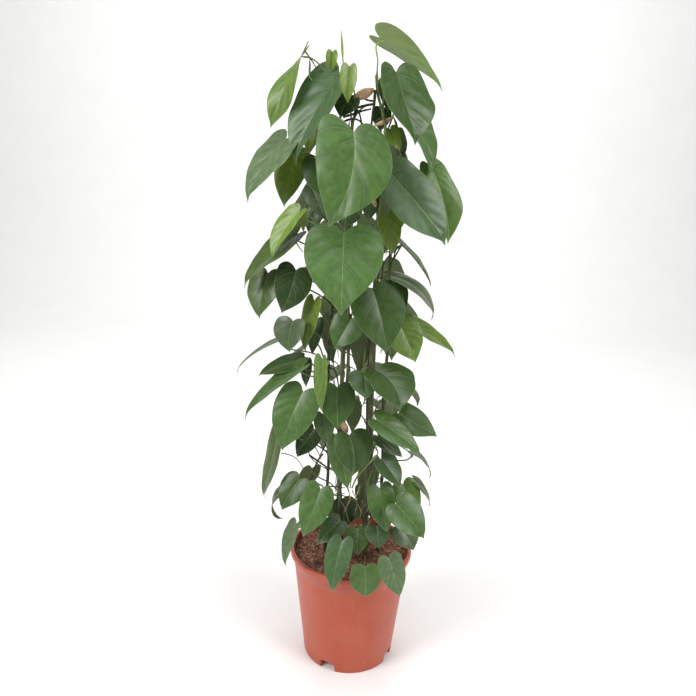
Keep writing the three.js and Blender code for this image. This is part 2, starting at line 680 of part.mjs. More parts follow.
// A petiole leaves the stem outwards and upwards and runs into the blade's underside
function makePetiole(vine, frame, leaf) {
  const low = SOIL_TOP + SOIL_HEAP + STEM_STRAIGHT;
  const height = THREE.MathUtils.clamp(frame.joint.z - (leaf.rise ?? PETIOLE_RISE), low, vine.top - 4);
  const root = stemPoint(vine, height);
  const outward = frame.joint.clone().sub(root).setZ(0);
  const reach = outward.length();
  outward.normalize();
  const away = root.clone().addScaledVector(outward, reach * 0.28);
  away.addScaledVector(UP, (frame.joint.z - height) * 0.4);
  const arrive = bladePoint(frame, leaf, 0, 0);
  const behind = arrive.point.clone().addScaledVector(arrive.normal, -Math.min(16, reach * 0.25));
  behind.addScaledVector(UP, -3);
  const end = bladePoint(frame, leaf, PETIOLE_END, 0).point;
  return swept([root, away, behind, end], PETIOLE_RADIUS, PETIOLE_SIDES, PETIOLE_STEPS);
}

// A rolled new leaf on its stalk: a slim cone on a bar from the stem
function makeSpear(vine, spear) {
  const foot = sightPoint(spear.from);
  const point = sightPoint(spear.to);
  const root = stemPoint(vine, vine.top - 6);
  const long = point.clone().sub(foot);
  const stalkEnd = foot.clone().addScaledVector(long, 0.3);
  const stalk = swept([root, foot, stalkEnd], PETIOLE_RADIUS, PETIOLE_SIDES, 4);
  const cone = new THREE.ConeGeometry(spear.radius, long.length(), SPEAR_SIDES);
  cone.translate(0, long.length() / 2, 0);
  cone.applyQuaternion(new THREE.Quaternion().setFromUnitVectors(
    new THREE.Vector3(0, 1, 0),
    long.clone().normalize(),
  ));
  cone.translate(foot.x, foot.y, foot.z);
  return stalk.add(toSolid(cone));
}

// A repeatable run of numbers between 0 and 1
function makeDraw(seed) {
  let state = seed;
  return () => {
    state = (state * 1664525 + 1013904223) % 4294967296;
    return state / 4294967296;
  };
}

// The leaves placed by rule, as joint and tip points with the same fields as the front ones
function farLeaves() {
  const draw = makeDraw(FAR_SEED);
  const leaves = [];
  for (const run of FAR_RUNS) {
    const lengths = run.reach < CLOSE_REACH ? CLOSE_LENGTHS : FAR_LENGTHS;
    const slopes = run.reach < CLOSE_REACH ? CLOSE_SLOPES : FAR_SLOPES;
    for (let at = 0; at < run.count; at += 1) {
      const share = at / (run.count - 1);
      const swing = (at % 2 === 0 ? 1 : -1) * run.spread * (0.55 + 0.45 * draw());
      const azimuth = run.azimuth + swing;
      const height = THREE.MathUtils.lerp(run.first, run.last, share) + FAR_HEIGHT_VARIES * (draw() - 0.5);
      const reach = run.reach + FAR_REACH_VARIES * draw();
      const length = THREE.MathUtils.lerp(...lengths, share) * (1 + FAR_LENGTH_VARIES * (draw() - 0.5));
      const slope = radians(THREE.MathUtils.lerp(...slopes, share) + FAR_SLOPE_VARIES * draw());
      const joint = around(azimuth, reach, height);
      const out = reach + length * Math.sin(slope);
      const tip = around(azimuth + swing * 0.3, out, height - length * Math.cos(slope));
      const wide = length * FAR_WIDTH_TO_LENGTH;
      leaves.push({ vine: run.vine, joint, tip, wide, face: azimuth, lift: FAR_LIFT, bend: FAR_BEND });
    }
  }
  return leaves;
}

function allLeaves() {
  const seen = FRONT_LEAVES.map((leaf) => ({
    ...leaf,
    joint: sightPoint(leaf.from),
    tip: sightPoint(leaf.to),
  }));
  return [...seen, ...farLeaves()];
}

// A leafy stem in one piece: the stem with every petiole, blade and rolled leaf that grows from it
function makeVine(name) {
  const vine = VINES[name];
  let whole = makeStem(vine);
  for (const leaf of allLeaves().filter((each) => each.vine === name)) {
    const frame = leafFrame(leaf.joint, leaf.tip, leaf.face, leaf.lift);
    whole = whole.add(makePetiole(vine, frame, leaf)).add(makeBlade(frame, leaf));
  }
  for (const spear of SPEARS.filter((each) => each.vine === name)) {
    whole = whole.add(makeSpear(vine, spear));
  }
  return largestBody(whole);
}

const plastic = { color: 0xb85a42, roughness: 0.5, metalness: 0 };
const earth = { color: 0x5e3d2b, roughness: 0.95, metalness: 0 };
const cane = { color: 0x8a7448, roughness: 0.7, metalness: 0 };
const tie = { color: 0x6b5a3c, roughness: 0.85, metalness: 0 };
const green = { color: 0x4f7a3c, roughness: 0.42, metalness: 0 };

const plant = new THREE.Group();

function place(name, solid, finish) {
  const mesh = new THREE.Mesh(toGeometry(solid), new THREE.MeshStandardMaterial(finish));
  mesh.name = name;
  plant.add(mesh);
}

place('pot', makePot(), plastic);
place('soil', makeSoil(), earth);
CANE_AZIMUTHS.forEach((azimuth, at) => place(`cane_${at + 1}`, makeCane(azimuth), cane));
HOOP_HEIGHTS.forEach((height, at) => place(`hoop_${at + 1}`, makeHoop(height), tie));
for (const name of Object.keys(VINES)) place(`vine_${name}`, makeVine(name), green);

export default plant;
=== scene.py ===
"""Looks of a potted heart-leaf climber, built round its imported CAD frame.

Lengths are millimetres in this file and become metres where a mesh is made. +Z is up, the front faces -Y,
and the origin is the middle of the pot's underside.
"""

import logging
import math
from collections.abc import Callable
from dataclasses import dataclass, field
from enum import Enum
from functools import partial

import bmesh
import bpy
import numpy as np
from mathutils import Euler, Matrix, Vector

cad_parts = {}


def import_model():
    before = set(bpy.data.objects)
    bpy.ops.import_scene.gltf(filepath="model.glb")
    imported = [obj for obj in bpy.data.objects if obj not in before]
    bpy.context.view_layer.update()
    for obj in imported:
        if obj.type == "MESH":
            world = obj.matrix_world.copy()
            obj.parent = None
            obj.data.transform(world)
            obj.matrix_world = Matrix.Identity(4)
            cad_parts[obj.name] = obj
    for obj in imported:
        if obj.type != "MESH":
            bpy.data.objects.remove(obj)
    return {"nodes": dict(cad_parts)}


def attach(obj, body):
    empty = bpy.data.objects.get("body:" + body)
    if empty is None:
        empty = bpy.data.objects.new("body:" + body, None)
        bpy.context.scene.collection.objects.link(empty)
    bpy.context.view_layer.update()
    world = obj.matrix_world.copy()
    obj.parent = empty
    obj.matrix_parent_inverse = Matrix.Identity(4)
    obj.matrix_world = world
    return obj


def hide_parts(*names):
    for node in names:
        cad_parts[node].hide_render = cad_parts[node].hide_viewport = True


log = logging.getLogger("climber")

MM = 0.001
UP = np.array([0.0, 0.0, 1.0])
RIGHT = np.array([1.0, 0.0, 0.0])
AHEAD = np.array([0.0, 1.0, 0.0])
# Short names for types: a place or size in three numbers, and what shader trees are made of
Spot = tuple[float, float, float]
Socket = bpy.types.NodeSocket
Nodes = dict[str, bpy.types.Node]
NodeAdder = Callable[..., bpy.types.Node]
# Points nearer than this, in millimetres, become one where seams and poles are closed
WELD = 0.001


def srgb(text: str) -> tuple[float, ...]:
    """Turns an sRGB colour into linear light: a straight line near black and a power of 2.4 above it.

    Args:
        text: the colour in hex, such as "#B85A42".

    Returns:
        Linear red, green and blue, and alpha 1.
    """
    shares = [int(text[at : at + 2], 16) / 255 for at in (1, 3, 5)]
    linear = [s / 12.92 if s <= 0.04045 else ((s + 0.055) / 1.055) ** 2.4 for s in shares]
    return (linear[0], linear[1], linear[2], 1.0)


def unit(vectors: np.ndarray) -> np.ndarray:
    """Scales each vector to length 1."""
    return vectors / np.maximum(np.linalg.norm(vectors, axis=-1, keepdims=True), 1e-12)


def around(
    azimuth: float | np.ndarray, reach: float | np.ndarray, height: float | np.ndarray
) -> np.ndarray:
    """A point at a compass azimuth in degrees (0 front, 90 right), a reach from the axis and a height."""
    angle = np.radians(azimuth)
    return np.stack(np.broadcast_arrays(reach * np.sin(angle), -reach * np.cos(angle), height), axis=-1)


def mix(low: float, high: float, share: float) -> float:
    """The value a share of the way from low to high."""
    return low + (high - low) * share


def smooth_step(value: float | np.ndarray, low: float, high: float) -> float | np.ndarray:
    """0 below low, 1 above high, and the cubic 3x^2 - 2x^3 between."""
    share = np.clip((value - low) / (high - low), 0.0, 1.0)
    return share * share * (3.0 - 2.0 * share)


def smooth_path(points: np.ndarray, count: int) -> np.ndarray:
    """A centripetal Catmull-Rom curve: knots lie the root of each chord apart, and each stretch is blended
    from the four points round it by Neville's scheme, with the ends mirrored outwards.

    Args:
        points: the points to run through, one a row.
        count: how many samples to return, even in knot value.

    Returns:
        The samples, one a row.
    """
    full = np.vstack([2 * points[0] - points[1], points, 2 * points[-1] - points[-2]])
    chords = np.linalg.norm(np.diff(full, axis=0), axis=1)
    knots = np.concatenate([[0.0], np.cumsum(np.sqrt(chords))])
    at = np.linspace(knots[1], knots[-2], count)
    span = np.clip(np.searchsorted(knots, at, side="right") - 1, 1, len(points) - 1)
    near = [full[span + shift] for shift in (-1, 0, 1, 2)]
    marks = [knots[span + shift][:, None] for shift in (-1, 0, 1, 2)]
    here = at[:, None]

    def blend(start: np.ndarray, end: np.ndarray, low: np.ndarray, high: np.ndarray) -> np.ndarray:
        """The straight blend of start at low and end at high."""
        return ((high - here) * start + (here - low) * end) / (high - low)

    first = [blend(near[k], near[k + 1], marks[k], marks[k + 1]) for k in range(3)]
    second = [blend(first[k], first[k + 1], marks[k], marks[k + 2]) for k in range(2)]
    return blend(*second, marks[1], marks[2])


@dataclass
class Shape:
    """Points and faces of a piece while it grows, with named values for every point."""

    points: list[np.ndarray] = field(default_factory=list)
    faces: list[list[int]] = field(default_factory=list)
    values: dict[str, list[np.ndarray]] = field(default_factory=dict)
    count: int = 0

    def add(self, points: np.ndarray, faces: list[np.ndarray], **values: float | np.ndarray) -> None:
        """Adds a patch.

        Args:
            points: its points in millimetres, one a row.
            faces: arrays of point numbers, one face a row.
            values: a number for the patch, or one for each point, under the same names in every patch.
        """
        for block in faces:
            self.faces.extend((np.asarray(block) + self.count).tolist())
        for name, value in values.items():
            value = np.asarray(value, float)
            if value.ndim == 0:
                value = np.full(len(points), float(value))
            elif len(value) != len(points):
                value = np.tile(value, (len(points), 1))
            self.values.setdefault(name, []).append(value)
        self.points.append(points)
        self.count += len(points)

    def make(self, name: str, finish: bpy.types.Material, weld: float = 0.0) -> bpy.types.Object:
        """Makes the mesh object, with its values as point attributes.

        Args:
            name: the piece's name.
            finish: its material.
            weld: points nearer than this, in millimetres, become one.

        Returns:
            The object, at the origin and smooth shaded.
        """
        mesh = bpy.data.meshes.new(name)
        mesh.from_pydata((np.vstack(self.points) * MM).tolist(), [], self.faces)
        for key, blocks in self.values.items():
            data = np.concatenate(blocks).astype(np.float32)
            if data.ndim == 1:
                mesh.attributes.new(key, "FLOAT", "POINT").data.foreach_set("value", data)
            else:
                mesh.attributes.new(key, "FLOAT_COLOR", "POINT").data.foreach_set("color", data.ravel())
        if weld:
            work = bmesh.new()
            work.from_mesh(mesh)
            bmesh.ops.remove_doubles(work, verts=work.verts, dist=weld * MM)
            work.to_mesh(mesh)
            work.free()
        mesh.polygons.foreach_set("use_smooth", [True] * len(mesh.polygons))
        mesh.materials.append(finish)
        mesh.validate()
        piece = bpy.data.objects.new(name, mesh)
        bpy.context.scene.collection.objects.link(piece)
        return piece


def settle(piece: bpy.types.Object, slot: str, *nodes: str) -> None:
    """Lets a piece ride on the one body, hides the CAD nodes it stands for, and reports it.

    Args:
        piece: the finished piece.
        slot: not used.
        nodes: the CAD nodes it stands for, or none where it is trim.
    """
    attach(piece, "root")
    if nodes:
        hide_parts(*nodes)
    piece.data.update()
    log.info("%s: %d faces for %s", piece.name, len(piece.data.polygons), ", ".join(nodes) or "trim")


def grid_faces(rows: int, columns: int, closed: bool = False) -> np.ndarray:
    """Quads of a grid whose points run row by row.

    Args:
        rows: points along the first direction.
        columns: points along the second.
        closed: whether the last column joins the first.

    Returns:
        Point numbers, four a row.
    """
    row, column = np.meshgrid(
        np.arange(rows - 1), np.arange(columns if closed else columns - 1), indexing="ij"
    )
    here, after = row * columns + column, row * columns + (column + 1) % columns
    return np.stack([here, after, after + columns, here + columns], axis=-1).reshape(-1, 4)


def tube(
    path: np.ndarray, radii: float | np.ndarray, sides: int, hint: np.ndarray
) -> tuple[np.ndarray, list[np.ndarray]]:
    """A closed round bar: at each path point a ring of radius r lies in the plane across the path.

    Args:
        path: points along the middle, one a row.
        radii: one radius, or one for each point.
        sides: points in a ring.
        hint: a direction that is never along the path, from which the rings are laid out.

    Returns:
        The ring points row by row, and faces with both ends closed.
    """
    ahead = unit(np.gradient(path, axis=0))
    first = unit(np.cross(hint, ahead))
    second = np.cross(ahead, first)
    angle = np.linspace(0, 2 * np.pi, sides, endpoint=False)
    reach = np.broadcast_to(np.asarray(radii, float), len(path))[:, None, None]
    rings = path[:, None] + reach * (
        np.cos(angle)[None, :, None] * first[:, None] + np.sin(angle)[None, :, None] * second[:, None]
    )
    foot = np.arange(sides)[None, ::-1]
    top = np.arange(sides)[None] + (len(path) - 1) * sides
    return rings.reshape(-1, 3), [grid_faces(len(path), sides, True), foot, top]


def add_node(
    tree: bpy.types.NodeTree, kind: str, inputs: dict[str | int, object] | None = None, **settings: object
) -> bpy.types.Node:
    """Adds one shader node.

    Args:
        tree: the material's node tree.
        kind: the shader node's type, without its prefix.
        inputs: for each input by name or number, a value or the output that feeds it.
        settings: the node's own properties.

    Returns:
        The node.
    """
    node = tree.nodes.new("ShaderNode" + kind)
    for key, value in settings.items():
        setattr(node, key, value)
    for key, value in (inputs or {}).items():
        if isinstance(value, Socket):
            tree.links.new(value, node.inputs[key])
        else:
            node.inputs[key].default_value = value
    return node


def new_finish(name: str) -> tuple[bpy.types.Material, NodeAdder]:
    """A new node material.

    Args:
        name: the finish's name.

    Returns:
        The material, and the call that adds a node to its empty tree.
    """
    material = bpy.data.materials.new(name)
    material.use_nodes = True
    material.node_tree.nodes.clear()
    return material, partial(add_node, material.node_tree)


class Tone(Enum):
    """The greens of the blades, from lime through dark and deep green to greyed and bluish green. Besides
    the leaves' own greens they hold painted light: lime and spring partly stand for light shining through
    young leaves, dark and deep partly for painted shade on leaves inside the plant, and bluish and grey
    partly for painted sheen.
    """

    LIME = "#6C872B"
    PALE = "#8A9A55"
    SPRING = "#5F7B30"
    FRESH = "#4B6B24"
    OLIVE = "#5D7420"
    MOSS = "#42581F"
    MID = "#45632C"
    DARK = "#36531D"
    DEEP = "#2C461A"
    BLUISH = "#435F37"
    SLATE = "#4B5F3C"
    GREY = "#5A704A"


@dataclass(frozen=True)
class LeafFinish:
    """Fresh leaf blade. It grows with a thin waxy skin above, which gives a soft broad sheen, and is duller
    and paler below. Midrib, side veins and margin are paler than the flesh, and the side veins lie a little
    sunken, with painted shade darkening the flesh on their flanks. The skin's pores are drawn coarser than
    they are, so that they show."""

    name: str = "leaf_blade_waxy"
    pale: str = "#A3B478"
    underside: str = "#8D9B6C"
    rib_width: float = 1.3
    vein_width: float = 1.1
    margin_width: float = 0.8
    flank_shade_width: float = 6.0
    mottle_size: float = 9.0
    patch_size: float = 34.0
    pore_size: float = 0.9
    rib_paleness: float = 0.34
    vein_paleness: float = 0.14
    margin_paleness: float = 0.3
    roughness_above: float = 0.37
    roughness_below: float = 0.62

    def vein_distance(self, add: NodeAdder, read: Nodes) -> Socket:
        """The distance from the nearest side vein: how far the vein count is from a whole number, times the
        gap between two veins.

        Args:
            add: adds a node to the material.
            read: the nodes that read the blade's point values.

        Returns:
            The distance in millimetres.
        """
        shift = add("Math", {0: read["vein_turn"].outputs["Fac"], 1: 0.5}, operation="ADD")
        share = add("Math", {0: shift.outputs[0]}, operation="FRACT")
        middle = add("Math", {0: share.outputs[0], 1: 0.5}, operation="SUBTRACT")
        apart = add("Math", {0: middle.outputs[0]}, operation="ABSOLUTE")
        gap = read["vein_gap"].outputs["Fac"]
        away = add("Math", {0: apart.outputs[0], 1: gap}, operation="MULTIPLY")
        return away.outputs[0]

    def paler_lines(self, add: NodeAdder, read: Nodes, away: Socket) -> Socket:
        """How pale a point is for the line it lies on: most within a fifth of the line's width, and less
        and less out to the full width. Where lines of midrib, margin and vein meet, the palest wins.

        Args:
            add: adds a node to the material.
            read: the nodes that read the blade's point values.
            away: the distance from the nearest side vein in millimetres.

        Returns:
            The share of the pale colour.
        """
        lines = []
        for source, width, depth in (
            (read["rib_mm"].outputs["Fac"], self.rib_width, self.rib_paleness),
            (read["edge_mm"].outputs["Fac"], self.margin_width, self.margin_paleness),
            (away, self.vein_width, self.vein_paleness),
        ):
            bounds = {
                "Value": source, "From Min": width * 0.2, "From Max": width, "To Min": depth, "To Max": 0.0
            }
            lines.append(add("MapRange", bounds, interpolation_type="SMOOTHSTEP").outputs[0])
        both = add("Math", {0: lines[0], 1: lines[1]}, operation="MAXIMUM")
        every = add("Math", {0: both.outputs[0], 1: lines[2]}, operation="MAXIMUM")
        return every.outputs[0]

    def shade(self, add: NodeAdder, coords: Socket, mottle: Socket, away: Socket) -> Socket:
        """How light the flesh is: broad patches and mottle together, with painted shade on the flanks of
        the sunken side veins.

        Args:
            add: adds a node to the material.
            coords: Object coordinates.
            mottle: the fine mottle.
            away: the distance from the nearest side vein in millimetres.

        Returns:
            The factor on the tone's value.
        """
        broad = add("TexNoise", {"Vector": coords, "Scale": 1 / (self.patch_size * MM), "Detail": 2.0})
        cloud = add("Math", {0: broad.outputs["Fac"], 1: 0.65, 2: mottle}, operation="MULTIPLY_ADD")
        value = add(
            "MapRange",
            {"Value": cloud.outputs[0], "From Min": 0.62, "From Max": 1.02, "To Min": 0.84, "To Max": 1.14},
        )
        # Painted shade: the flesh darkens towards each sunken side vein
        flank_shade = add(
            "MapRange",
            {"Value": away, "From Min": 0.0, "From Max": self.flank_shade_width, "To Min": 0.78, "To Max": 1.05},
            interpolation_type="SMOOTHSTEP",
        )
        both = add("Math", {0: value.outputs[0], 1: flank_shade.outputs[0]}, operation="MULTIPLY")
        return both.outputs[0]

    def colour(self, add: NodeAdder, read: Nodes, light: Socket, paler: Socket) -> Socket:
        """The blade's own tone made lighter or darker, drawn over with the pale lines, and greyed on the
        underside.

        Args:
            add: adds a node to the material.
            read: the nodes that read the blade's point values.
            light: the factor on the tone's value.
            paler: the share of the pale colour.

        Returns:
            The colour.
        """
        flesh = add("HueSaturation", {"Color": read["tone"].outputs["Color"], "Value": light})
        lined = add("Mix", {0: paler, 6: flesh.outputs[0], 7: srgb(self.pale)}, data_type="RGBA")
        below = add("MapRange", {"Value": read["upper"].outputs["Fac"], "To Min": 0.5, "To Max": 0.0})
        full = add(
            "Mix", {0: below.outputs[0], 6: lined.outputs[2], 7: srgb(self.underside)}, data_type="RGBA"
        )
        return full.outputs[2]

    def roughness(self, add: NodeAdder, read: Nodes, mottle: Socket) -> Socket:
        """Waxy above and dull below, a little uneven with the mottle.

        Args:
            add: adds a node to the material.
            read: the nodes that read the blade's point values.
            mottle: the fine mottle.

        Returns:
            The roughness.
        """
        sides = add(
            "MapRange",
            {
                "Value": read["upper"].outputs["Fac"],
                "To Min": self.roughness_below,
                "To Max": self.roughness_above,
            },
        )
        patchy = add(
            "MapRange", {"Value": mottle, "From Min": 0.3, "From Max": 0.7, "To Min": -0.07, "To Max": 0.09}
        )
        both = add("Math", {0: sides.outputs[0], 1: patchy.outputs[0]}, operation="ADD")
        return both.outputs[0]

    def relief(self, add: NodeAdder, coords: Socket, paler: Socket) -> Socket:
        """Fine pores all over, and lines that lie under the flesh.

        Args:
            add: adds a node to the material.
            coords: Object coordinates.
            paler: the share of the pale colour.

        Returns:
            The bumped normal.
        """
        pores = add("TexVoronoi", {"Vector": coords, "Scale": 1 / (self.pore_size * MM)})
        skin = add("Math", {0: pores.outputs["Distance"], 1: 0.05}, operation="MULTIPLY")
        sunk = add("Math", {0: paler, 1: -0.3, 2: skin.outputs[0]}, operation="MULTIPLY_ADD")
        bump = add("Bump", {"Height": sunk.outputs[0], "Distance": MM, "Strength": 0.8})
        return bump.outputs[0]

    def build(self) -> bpy.types.Material:
        """Reads each blade's tone and distances, and joins colour, roughness and relief in one waxy shader.

        Returns:
            The material.
        """
        material, add = new_finish(self.name)
        names = ("tone", "rib_mm", "edge_mm", "vein_turn", "vein_gap", "upper")
        read = {key: add("Attribute", attribute_name=key) for key in names}
        coords = add("TexCoord").outputs["Object"]
        grain = {"Vector": coords, "Scale": 1 / (self.mottle_size * MM), "Detail": 4.0}
        mottle = add("TexNoise", grain).outputs["Fac"]
        away = self.vein_distance(add, read)
        paler = self.paler_lines(add, read, away)
        light = self.shade(add, coords, mottle, away)
        shader = add(
            "BsdfPrincipled",
            {
                "Base Color": self.colour(add, read, light, paler),
                "Roughness": self.roughness(add, read, mottle),
                "Normal": self.relief(add, coords, paler),
                "IOR": 1.45,
                "Specular IOR Level": 0.5,
                "Coat Weight": 0.1,
                "Coat Roughness": 0.22,
                "Subsurface Weight": 0.12,
                "Subsurface Radius": (0.6, 1.0, 0.25),
                "Subsurface Scale": 1.2 * MM,
            },
        )
        add("OutputMaterial", {"Surface": shader.outputs[0]})
        return material


@dataclass(frozen=True)
class StemFinish:
    """Living stem and petiole. Young growth is smooth pale green, old stem is olive brown with fine
    lengthways ribs and small corky flecks."""

    name: str = "stem_green_to_corky"
    young: str = "#7C9450"
    old: str = "#33311E"
    fleck: str = "#8B7B55"
    drift_size: float = 14.0
    fleck_size: float = 2.2
    rib_size: float = 1.1
    rib_stretch: Spot = (1.0, 1.0, 0.12)
    rib_depth: float = 0.3

    def build(self) -> bpy.types.Material:
        """Colour runs from young to old with the point value age, and flecks show where age is high.

        Returns:
            The material.
        """
        material, add = new_finish(self.name)
        age = add("Attribute", attribute_name="age").outputs["Fac"]
        coords = add("TexCoord").outputs["Object"]
        drift = add("TexNoise", {"Vector": coords, "Scale": 1 / (self.drift_size * MM), "Detail": 3.0})
        varied = add(
            "MapRange",
            {
                "Value": drift.outputs["Fac"],
                "From Min": 0.3,
                "From Max": 0.7,
                "To Min": -0.2,
                "To Max": 0.2,
            },
        )
        aged = add("Math", {0: age, 1: varied.outputs[0]}, operation="ADD", use_clamp=True)
        base = add("Mix", {0: aged.outputs[0], 6: srgb(self.young), 7: srgb(self.old)}, data_type="RGBA")
        cells = add("TexVoronoi", {"Vector": coords, "Scale": 1 / (self.fleck_size * MM)})
        spots = add(
            "MapRange",
            {
                "Value": cells.outputs["Distance"],
                "From Min": 0.12,
                "From Max": 0.3,
                "To Min": 0.7,
                "To Max": 0.0,
            },
        )
        shown = add("Math", {0: spots.outputs[0], 1: aged.outputs[0]}, operation="MULTIPLY")
        colour = add(
            "Mix", {0: shown.outputs[0], 6: base.outputs[2], 7: srgb(self.fleck)}, data_type="RGBA"
        )
        squeeze = add("Mapping", {"Vector": coords, "Scale": self.rib_stretch})
        ribs = add(
            "TexNoise", {"Vector": squeeze.outputs[0], "Scale": 1 / (self.rib_size * MM), "Detail": 2.0}
        )
        bump = add(
            "Bump", {"Height": ribs.outputs["Fac"], "Distance": self.rib_depth * MM, "Strength": 0.7}
        )
        shader = add(
            "BsdfPrincipled",
            {"Base Color": colour.outputs[2], "Roughness": 0.48, "Normal": bump.outputs[0], "IOR": 1.45},
        )
        add("OutputMaterial", {"Surface": shader.outputs[0]})
        return material


@dataclass(frozen=True)
class FibreFinish:
    """Dry plant fibre: papery bud sheaths, air roots, split cane. Long fibres run one way in fine light and
    dark streaks, partly their own tone and partly a painted highlight on the raised fibres, and the surface
    is matt."""

    name: str
    light: str
    dark: str
    streak_size: float
    stretch: Spot
    roughness: float
    relief: float
    drift_size: float = 18.0

    def build(self) -> bpy.types.Material:
        """Streaks are noise squeezed across the fibres, over a broad drift of tone. The same streaks raise
        the bump, so the raised fibres are painted lighter as highlight.

        Returns:
            The material.
        """
        material, add = new_finish(self.name)
        coords = add("TexCoord").outputs["Object"]
        squeeze = add("Mapping", {"Vector": coords, "Scale": self.stretch})
        streaks = add(
            "TexNoise",
            {
                "Vector": squeeze.outputs[0],
                "Scale": 1 / (self.streak_size * MM),
                "Detail": 5.0,
                "Roughness": 0.65,
            },
        )
        drift = add("TexNoise", {"Vector": coords, "Scale": 1 / (self.drift_size * MM), "Detail": 2.0})
        # Painted highlight: the raised streaks of the bump are also the light ones in the colour
        both = add("Math", {0: streaks.outputs["Fac"], 1: drift.outputs["Fac"]}, operation="ADD")
        share = add("MapRange", {"Value": both.outputs[0], "From Min": 0.75, "From Max": 1.25})
        colour = add(
            "Mix", {0: share.outputs[0], 6: srgb(self.dark), 7: srgb(self.light)}, data_type="RGBA"
        )
        bump = add(
            "Bump", {"Height": streaks.outputs["Fac"], "Distance": self.relief * MM, "Strength": 0.8}
        )
        shader = add(
            "BsdfPrincipled",
            {"Base Color": colour.outputs[2], "Roughness": self.roughness, "Normal": bump.outputs[0]},
        )
        add("OutputMaterial", {"Surface": shader.outputs[0]})
        return material


@dataclass(frozen=True)
class PotFinish:
    """Polypropylene, injection moulded and through-coloured like fired clay. The mould leaves it satin with
    a very fine grain, drawn here as coarse as it needs to show, and handling leaves pale upright scuffs."""

    name: str = "pot_polypropylene_moulded"
    body: str = "#AC482D"
    faded: str = "#BB614A"
    scuff: str = "#D9A08C"
    grain_size: float = 1.2
    grain_depth: float = 0.08
    scuff_size: float = 5.0
    scuff_stretch: Spot = (1.0, 1.0, 0.08)
    fade_size: float = 60.0

    def build(self) -> bpy.types.Material:
        """Broad fading, thin upright scuffs, and a fine moulded grain in the bump.

        Returns:
            The material.
        """
        material, add = new_finish(self.name)
        coords = add("TexCoord").outputs["Object"]
        fade = add("TexNoise", {"Vector": coords, "Scale": 1 / (self.fade_size * MM), "Detail": 3.0})
        faded = add(
            "MapRange",
            {"Value": fade.outputs["Fac"], "From Min": 0.35, "From Max": 0.7, "To Min": 0.0, "To Max": 0.4},
        )
        base = add("Mix", {0: faded.outputs[0], 6: srgb(self.body), 7: srgb(self.faded)}, data_type="RGBA")
        squeeze = add("Mapping", {"Vector": coords, "Scale": self.scuff_stretch})
        scratch = add(
            "TexNoise",
            {
                "Vector": squeeze.outputs[0],
                "Scale": 1 / (self.scuff_size * MM),
                "Detail": 6.0,
                "Roughness": 0.7,
            },
        )
        scuffed = add(
            "MapRange",
            {
                "Value": scratch.outputs["Fac"],
                "From Min": 0.6,
                "From Max": 0.78,
                "To Min": 0.0,
                "To Max": 0.3,
            },
        )
        colour = add(
            "Mix", {0: scuffed.outputs[0], 6: base.outputs[2], 7: srgb(self.scuff)}, data_type="RGBA"
        )
        rough = add(
            "MapRange",
            {
                "Value": scratch.outputs["Fac"],
                "From Min": 0.35,
                "From Max": 0.75,
                "To Min": 0.38,
                "To Max": 0.52,
            },
        )
        grain = add("TexNoise", {"Vector": coords, "Scale": 1 / (self.grain_size * MM), "Detail": 2.0})
        bump = add(
            "Bump", {"Height": grain.outputs["Fac"], "Distance": self.grain_depth * MM, "Strength": 0.6}
        )
        shader = add(
            "BsdfPrincipled",
            {
                "Base Color": colour.outputs[2],
                "Roughness": rough.outputs[0],
                "Normal": bump.outputs[0],
                "IOR": 1.49,
                "Sheen Weight": 0.1,
                "Sheen Roughness": 0.4,
            },
        )
        add("OutputMaterial", {"Surface": shader.outputs[0]})
        return material


@dataclass(frozen=True)
class SoilFinish:
    """Moist peat compost with bark and coir: red-brown crumbs and pale flecks, painted darker in the
    hollows as shade, and without any shine."""

    name: str = "soil_peat_compost"
    dark: str = "#4A2C20"
    brown: str = "#93604A"
    pale: str = "#CDA78F"
    crumb_size: float = 8.0
    crumb_depth: float = 3.0
    fleck_size: float = 3.6

    def build(self) -> bpy.types.Material:
        """Crumb noise shapes the bump and the colour alike, dark in its hollows as painted shade and brown
        on its tops, and each small cell may be a pale fleck.

        Returns:
            The material.
        """
        material, add = new_finish(self.name)
        coords = add("TexCoord").outputs["Object"]
        crumb = add(
            "TexNoise",
            {"Vector": coords, "Scale": 1 / (self.crumb_size * MM), "Detail": 8.0, "Roughness": 0.7},
        )
        # Painted shade: the low parts of the crumb noise, the hollows of the bump, take the dark colour
        share = add("MapRange", {"Value": crumb.outputs["Fac"], "From Min": 0.36, "From Max": 0.62})
        base = add("Mix", {0: share.outputs[0], 6: srgb(self.dark), 7: srgb(self.brown)}, data_type="RGBA")
        cells = add("TexVoronoi", {"Vector": coords, "Scale": 1 / (self.fleck_size * MM)})
        picked = add("SeparateColor", {"Color": cells.outputs["Color"]})
        flecked = add(
            "MapRange",
            {"Value": picked.outputs[0], "From Min": 0.72, "From Max": 0.98, "To Min": 0.0, "To Max": 0.6},
        )
        colour = add(
            "Mix", {0: flecked.outputs[0], 6: base.outputs[2], 7: srgb(self.pale)}, data_type="RGBA"
        )
        bump = add(
            "Bump", {"Height": crumb.outputs["Fac"], "Distance": self.crumb_depth * MM, "Strength": 0.9}
        )
        shader = add(
            "BsdfPrincipled",
            {"Base Color": colour.outputs[2], "Roughness": 0.95, "Normal": bump.outputs[0]},
        )
        add("OutputMaterial", {"Surface": shader.outputs[0]})
        return material


